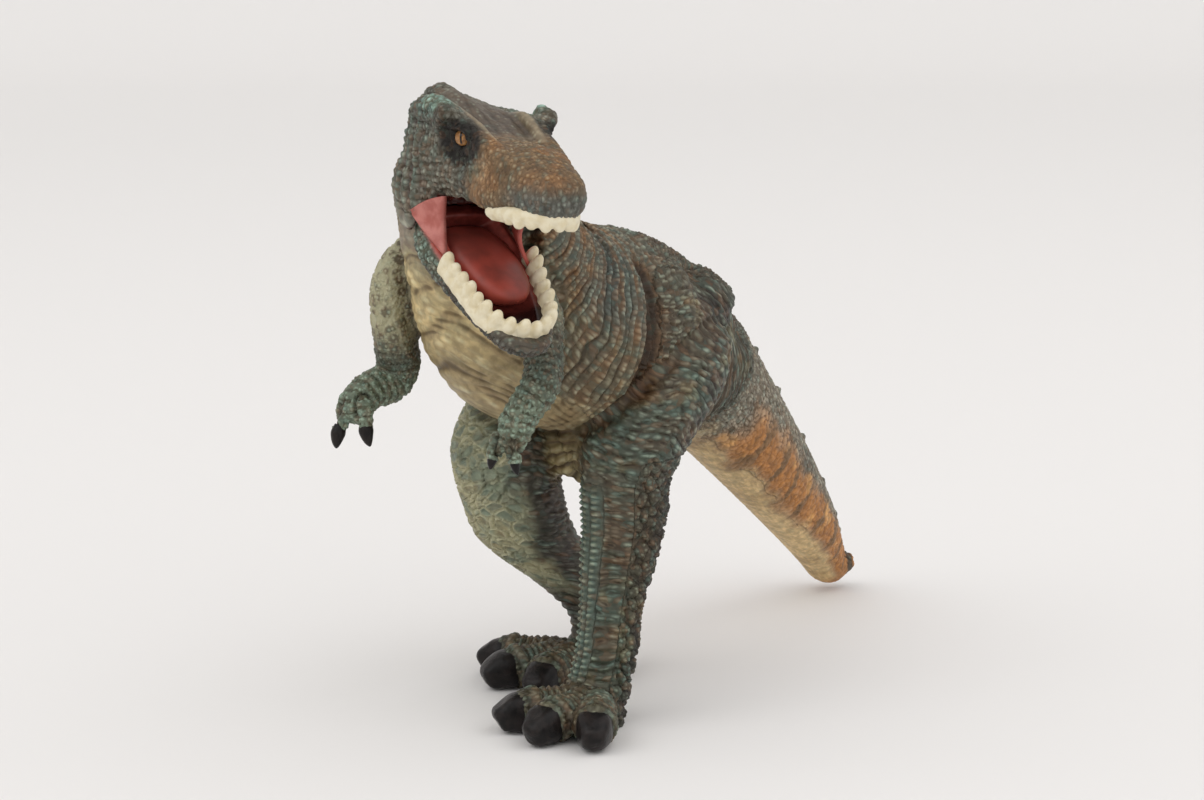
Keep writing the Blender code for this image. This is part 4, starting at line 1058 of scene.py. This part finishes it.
skin = skin_material()
flesh = gloss_material("mouth_flesh", TONGUE_FLESH, (0.19, 0.040, 0.030), 0.40, 7.0)
roof_flesh = gloss_material("roof_flesh", FLESH, (0.035, 0.008, 0.006), 0.45)
webs = {"left": gloss_material("cheek_red", CHEEK_RED, (0.36, 0.070, 0.055), 0.33, 2.5),
        "right": gloss_material("cheek_pink", PINK, (0.38, 0.105, 0.085), 0.33, 2.5)}
ivory = gloss_material("tooth_ivory", IVORY, (0.70, 0.61, 0.41), 0.38, 1.6)
horn = gloss_material("claw_horn", HORN, (0.020, 0.016, 0.015), 0.28, 2.0, 0.14, specular=0.16)
steel = gloss_material("pin_steel", (0.4, 0.4, 0.41), (0.3, 0.3, 0.31), 0.35, 1.0, Metallic=1.0)


def dressed(obj, material, body, slot, *nodes):
    obj.data.materials.clear()
    obj.data.materials.append(material)
    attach(obj, body)
    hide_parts(*nodes)


values = {"paint": paint, "tops": np.clip(tops, 0, 1), "rims": np.clip(rims, 0, 1), "wet": np.clip(wet, 0, 1),
          "grain": grain, "beads": beads}
for i, name in enumerate(CASTINGS):
    piece = part_object("skin_" + name, points, quads[face_owner == i], normals, values)
    dressed(piece, skin, "body", "body_skin", "head_and_neck" if name == "head" else name)


# The lower jaw, its teeth, the tongue, the roof of the mouth and the webs at its corners
def jaw_piece():
    solid = outward(add_object("jaw", *lofted(JAW, 4, jaw, power=2.4, sides=40).mesh()))
    remeshed(solid, ROUGH_VOXEL)
    carved(solid, add_object("cutter", *lofted(TROUGH, 3, jaw, power=2.3).mesh()))
    carved(solid, add_object("cutter", *lofted(JAW_RIM, 1, jaw, power=12, sides=64).mesh()))
    p, q = taken(remeshed(solid, JAW_VOXEL))
    p = relaxed(p, q, 4)
    n, j = normals_of(p, q), (p - HINGE) @ jaw_axes().T
    x, y, z = j.T
    inside = np.abs(y) < np.interp(x, (0, 8, 21, 27, 30), (8.2, 7.9, 6.9, 5.6, 3.0))
    inside |= (x < 12.5) & (np.abs(y) < 9.4) & (z > -0.6)
    inside &= (z > -3.4) & (x < 30.2)
    lining = spread(inside.astype(float), q, 3)
    lip = ease(-1.9, -0.7, z) * ease(11.0, 15.0, x)
    folds = fold(x / 2.2 + 0.8 * noise(p, 3.0, 43))
    pattern = scales(p, 1.3, 41, 0.35) * (1 - lip) + lip * (0.25 + 0.55 * folds)
    p = p + n * ((1 - lining) * 0.42 * (pattern - LEVEL))[:, None]
    mottle = noise(p, 4.0, 42)[:, None]
    coat = np.array((0.125, 0.120, 0.102)) * (1 + 0.2 * mottle)
    coat = mixed(coat, lip, np.array((0.110, 0.095, 0.072)) * (1 + 0.3 * mottle))
    coat = mixed(coat, ease(17.0, 9.0, x) * ease(-5.0, -3.0, z), (0.240, 0.310, 0.250))
    coat = mixed(coat, ease(-3.6, -5.4, z), (0.135, 0.100, 0.080))
    # Painted shade: the lining is darkened almost to black at the front of the trough, ahead of the tongue's
    # tip.
    gum = np.array((0.18, 0.032, 0.025)) * (1 - 0.93 * ease(20.0, 25.0, x))[:, None]
    gum = mixed(gum, ease(4.0, 6.5, np.abs(y)) * ease(20.0, 14.0, x), CHEEK_RED)
    numbers = {"paint": mixed(coat, lining, gum), "tops": pattern, "rims": np.zeros(len(p)), "wet": lining,
               "grain": j / BEAD_SIZE, "beads": 1 - 0.3 * lip}
    return part_object("skin_lower_jaw", p, q, normals_of(p, q), numbers)


dressed(jaw_piece(), skin, "lower_jaw", "body_skin", "lower_jaw")


def arch_path(rear, bend, front, half, rear_half, count):
    """Points along a row of teeth, forward and sideways, evenly spaced."""
    path = []
    for turn in np.linspace(-1, 1, 241):
        straight = max(0.0, abs(turn) * 2 - 1)
        angle = np.clip(turn * 2, -1, 1) * pi / 2
        path.append((bend + (front - bend) * cos(angle) - (bend - rear) * straight,
                     half * sin(angle) + (rear_half - half) * straight * np.sign(turn)))
    path, at = np.array(path), run_along(path)
    even = np.linspace(0, at[-1], count)
    return np.stack([np.interp(even, at, path[:, k]) for k in range(2)], 1)


def tooth_piece(name, arch, count, seat, height, width, carry, down, lean, rear_heights):
    """A row of pegs on a low ridge. The two rear heights are shares for the right and the left end."""
    meshes = []
    for rise, thick in ((0.0, 0.62), (0.45 * height * down, 0.30)):
        ridge = np.insert(arch_path(*arch, 60), 2, seat + rise, axis=1)
        meshes.append(tube_mesh(carry(ridge), [width * thick] * 60))
    for k, (x, y) in enumerate(arch_path(*arch, count)):
        forward = min(min(k, count - 1 - k) / (count / 4), 1.0)
        last = rear_heights[int(k > count / 2)]
        tall = height * (0.94 + 0.06 * cos(k * 2.4)) * (last + (1 - last) * forward) * down
        out = unit((x - arch[1] * 0.8, y)) * lean
        stations = [(x + out[0] * t, y + out[1] * t, seat + tall * t)
                    for t in (-0.25, 0.20, 0.50, 0.75, 0.92, 1.02)]
        meshes.append(tube_mesh(carry(stations), np.array((0.58, 0.60, 0.56, 0.46, 0.33, 0.14)) * width, 12))
    p, q = taken(remeshed(add_object(name, *merged(meshes)), TOOTH_VOXEL))
    p = relaxed(p, q, 3)
    return part_object(name, p, q, normals_of(p, q), {})


LOWER_ARCH, UPPER_ARCH = (12.6, 23.0, 30.4, 7.15, 8.5), (20.5, 25.5, 32.5, 5.7, 6.2)
lower = tooth_piece("lower_tooth_row", LOWER_ARCH, 18, -1.2, 4.3, 2.3, jaw, 1, 0.30, (0.85, 1.35))
dressed(lower, ivory, "lower_jaw", "ivory", "lower_teeth")
upper = tooth_piece("upper_tooth_row", UPPER_ARCH, 13, 3.6, 2.6, 2.25, head, -1, 0.2, (0.55, 0.55))
dressed(upper, ivory, "body", "ivory", "upper_teeth")
tongue = add_object("tongue_flesh", *lofted(TONGUE, 4, jaw, power=2.5, sides=40).mesh())
dressed(tongue, flesh, "lower_jaw", "mouth_flesh", "tongue")
palate = add_object("palate_flesh", *lofted(PALATE, 4, head, power=2.4, sides=28).mesh())
dressed(palate, roof_flesh, "body", "mouth_flesh", "mouth_lining")


def cheek(name, side, upper_edge, lower_edge, hollow):
    """The stretched web of flesh at a mouth corner, from the upper lip to the lower jaw's rim."""
    top = smooth_rows(head(np.array(upper_edge) * (1, side, 1)), 4)
    low = smooth_rows(jaw(np.array(lower_edge) * (1, side, 1)), 4)
    across, down = len(top), 15
    u, sheet = np.linspace(0, 1, across)[:, None], []
    for t in np.linspace(0, 1, down):
        bulge = sin(pi * t)
        inward = -FORWARD * 1.44 * bulge * u - side * LEFT * hollow * bulge * u
        sheet.append(top * (1 - t) + low * t + inward + FORWARD * (0.18 * np.sin(9.0 * u + 5.0 * t) * bulge))
    sheet, thick = np.concatenate(sheet), side * LEFT * 0.45
    half = across * down
    faces = []
    for a in (i * across + k for i in range(down - 1) for k in range(across - 1)):
        b = half + a
        faces += [(a, a + 1, a + across + 1, a + across), (b, b + across, b + across + 1, b + 1)]
    ring = [*range(across), *range(2 * across - 1, half, across), *range(half - 2, half - across - 1, -1),
            *range(half - 2 * across, 0, -across)]
    faces += [(a, half + a, half + b, b) for a, b in zip(ring, ring[1:] + ring[:1])]
    obj = outward(add_object(name + "_cheek_web", np.concatenate([sheet + thick, sheet - thick]), faces))
    obj.data.materials.append(webs[name])
    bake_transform(obj)


cheek("right", -1, ((0.6, 10.6, 1.2), (3.0, 10.2, 2.6), (5.6, 9.6, 3.8), (8.4, 8.8, 4.6)),
      ((0.9, 10.4, 0.9), (4.0, 10.0, 0.8), (7.6, 9.4, 0.8), (11.2, 8.6, 0.8)), 0.8)
cheek("left", 1, ((0.6, 10.6, 1.2), (3.0, 10.2, 2.6), (8.0, 8.8, 4.2), (14.5, 7.4, 4.2)),
      ((0.9, 10.4, 0.9), (4.0, 10.0, 0.8), (8.0, 8.8, 0.4), (14.5, 7.4, 1.2)), 2.0)


# Claws and eyes
def claw(node, points, faces):
    dressed(add_object(node + "_horn", points, faces), horn, "body", "claw_black", node)


for name, side in SIDES.items():
    for toe, turn in TOE_TURNS[name].items():
        p, faces = toe_limb(CLAW, side, turn, TOE_LENGTH, CLAW_LENGTH, 6, sides=40, power=3.0).mesh()
        facets = 0.26 * np.stack([noise(p, 2.2, seed) for seed in (51, 52, 53)], 1)
        claw(f"{name}_{toe}_toe_claw", p + facets, faces)
for node, (tip, way) in claw_roots.items():
    size = 0.8 if node.startswith("left") else 1.25
    rows = [(*(tip + (way * t + np.array((0, 0.25, 0)) * t * t) * FINGER_CLAW * size), r * size, r * size)
            for t, r in ((-0.3, 0.9), (0.1, 1.15), (0.4, 1.0), (0.7, 0.7), (0.92, 0.35), (1.0, 0.12))]
    claw(node, *Limb(smooth_rows(rows, 4), sides=20).mesh())
for name in SIDES:
    middle = np.mean(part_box(name + "_dewclaw"), axis=0) / MM
    rows = [(*(middle + (0, 0.5 * t, -2.6 * t)), r, r)
            for t, r in ((-1, 0.8), (-0.6, 1.5), (0, 1.35), (0.6, 0.8), (1, 0.2))]
    claw(name + "_dewclaw", *Limb(smooth_rows(rows, 4), sides=20).mesh())


def eye_material():
    s = Shader("eye_amber", 0.18)
    x, y, _ = s.split(s.places)
    ahead = s.math("DIVIDE", x, EYE_RADIUS * MM)
    aside = s.math("ABSOLUTE", s.math("DIVIDE", y, EYE_RADIUS * MM))
    iris = s.mix(s.ramp(s.noise(0.7, 4.0), 0.35, 0.7), (0.42, 0.21, 0.075), (0.20, 0.085, 0.028))
    rim = s.mix(s.ramp(ahead, 0.55, 0.40), iris, (0.02, 0.016, 0.012))
    slit = s.times(s.ramp(aside, 0.16, 0.08), s.ramp(ahead, 0.70, 0.80))
    return s.finish(s.mix(slit, rim, (0.01, 0.008, 0.006)))


eye_paint = eye_material()
for name, side in SIDES.items():
    gaze = Vector(unit(FORWARD * 0.60 + side * LEFT * 0.80))
    eye = add_object(name + "_eye_ball", *ball_mesh((0, 0, 0), (EYE_RADIUS,) * 3, rings=24, sides=36))
    turn = gaze.to_track_quat("X", "Z").to_matrix().to_4x4()
    eye.matrix_world = Matrix.Translation(head((12.0, side * 7.8, 15.4)) * MM) @ turn
    dressed(eye, eye_paint, "body", "eye_amber", name + "_eye")

pin = frame["nodes"]["jaw_hinge_pin"]
pin.data.materials.clear()
pin.data.materials.append(steel)


# Floor, light and camera
AZIMUTH, TILT, FOCAL_PIXELS, PHOTO_WIDTH = radians(33.0), radians(10.6), 3000.0, 1204


def floor():
    """A pale sheet that turns up behind the figure, with painted light falloff: darker far behind it."""
    radius, far, wide = 500.0, 1500.0, 8000.0
    bend = [(far + radius * sin(a), radius * (1 - cos(a))) for a in np.linspace(0.1, pi / 2, 12)]
    profile = [(-3000.0, 0.0), (far, 0.0), *bend, (far + radius, 3500.0)]
    turn = np.array(Matrix.Rotation(AZIMUTH, 3, "Z"))
    p = [turn @ (x, y, z) for y, z in profile for x in (-wide, wide)]
    obj = add_object("floor", p, [(2 * k, 2 * k + 1, 2 * k + 3, 2 * k + 2) for k in range(len(profile) - 1)])
    s = Shader("paper_floor", 0.9, 0.1)
    x, y, _ = s.split(s.places)
    # Painted light falloff: the sheet is paler near the figure and darker far behind it.
    shade = s.mix(s.ramp(s.math("SUBTRACT", y, x), -0.2, 1.9), (0.825, 0.81, 0.80), (0.735, 0.722, 0.712))
    obj.data.materials.append(s.finish(shade))


floor()

SUNS = (
    ("key", (-0.35, -0.85, 0.90), 0.90, 55.0),
    ("fill", (0.90, -0.20, 0.75), 0.85, 80.0),
    ("top", (0.05, 0.25, 1.00), 0.50, 80.0),
)
for name, place, power, spread_angle in SUNS:
    light = bpy.data.lights.new(name, "SUN")
    light.energy, light.angle = power, radians(spread_angle)
    lamp = bpy.data.objects.new(name, light)
    bpy.context.scene.collection.objects.link(lamp)
    lamp.rotation_euler = Vector(place).to_track_quat("Z", "Y").to_euler()

world = bpy.data.worlds.new("studio")
bpy.context.scene.world = world
world.use_nodes = True
background = world.node_tree.nodes["Background"]
background.inputs["Color"].default_value = (1.0, 0.985, 0.97, 1)
background.inputs["Strength"].default_value = 0.54

camera_data = bpy.data.cameras.new("camera")
camera_data.sensor_width = 36.0
camera_data.lens = camera_data.sensor_width * FOCAL_PIXELS / PHOTO_WIDTH
camera_data.clip_end = 20.0
camera = bpy.data.objects.new("camera", camera_data)
bpy.context.scene.collection.objects.link(camera)
camera.location = (0.3169, -0.5071, 0.168)
camera.rotation_euler = (pi / 2 - TILT, 0, AZIMUTH)
bpy.context.scene.camera = camera
bpy.context.scene.view_settings.view_transform = "Standard"
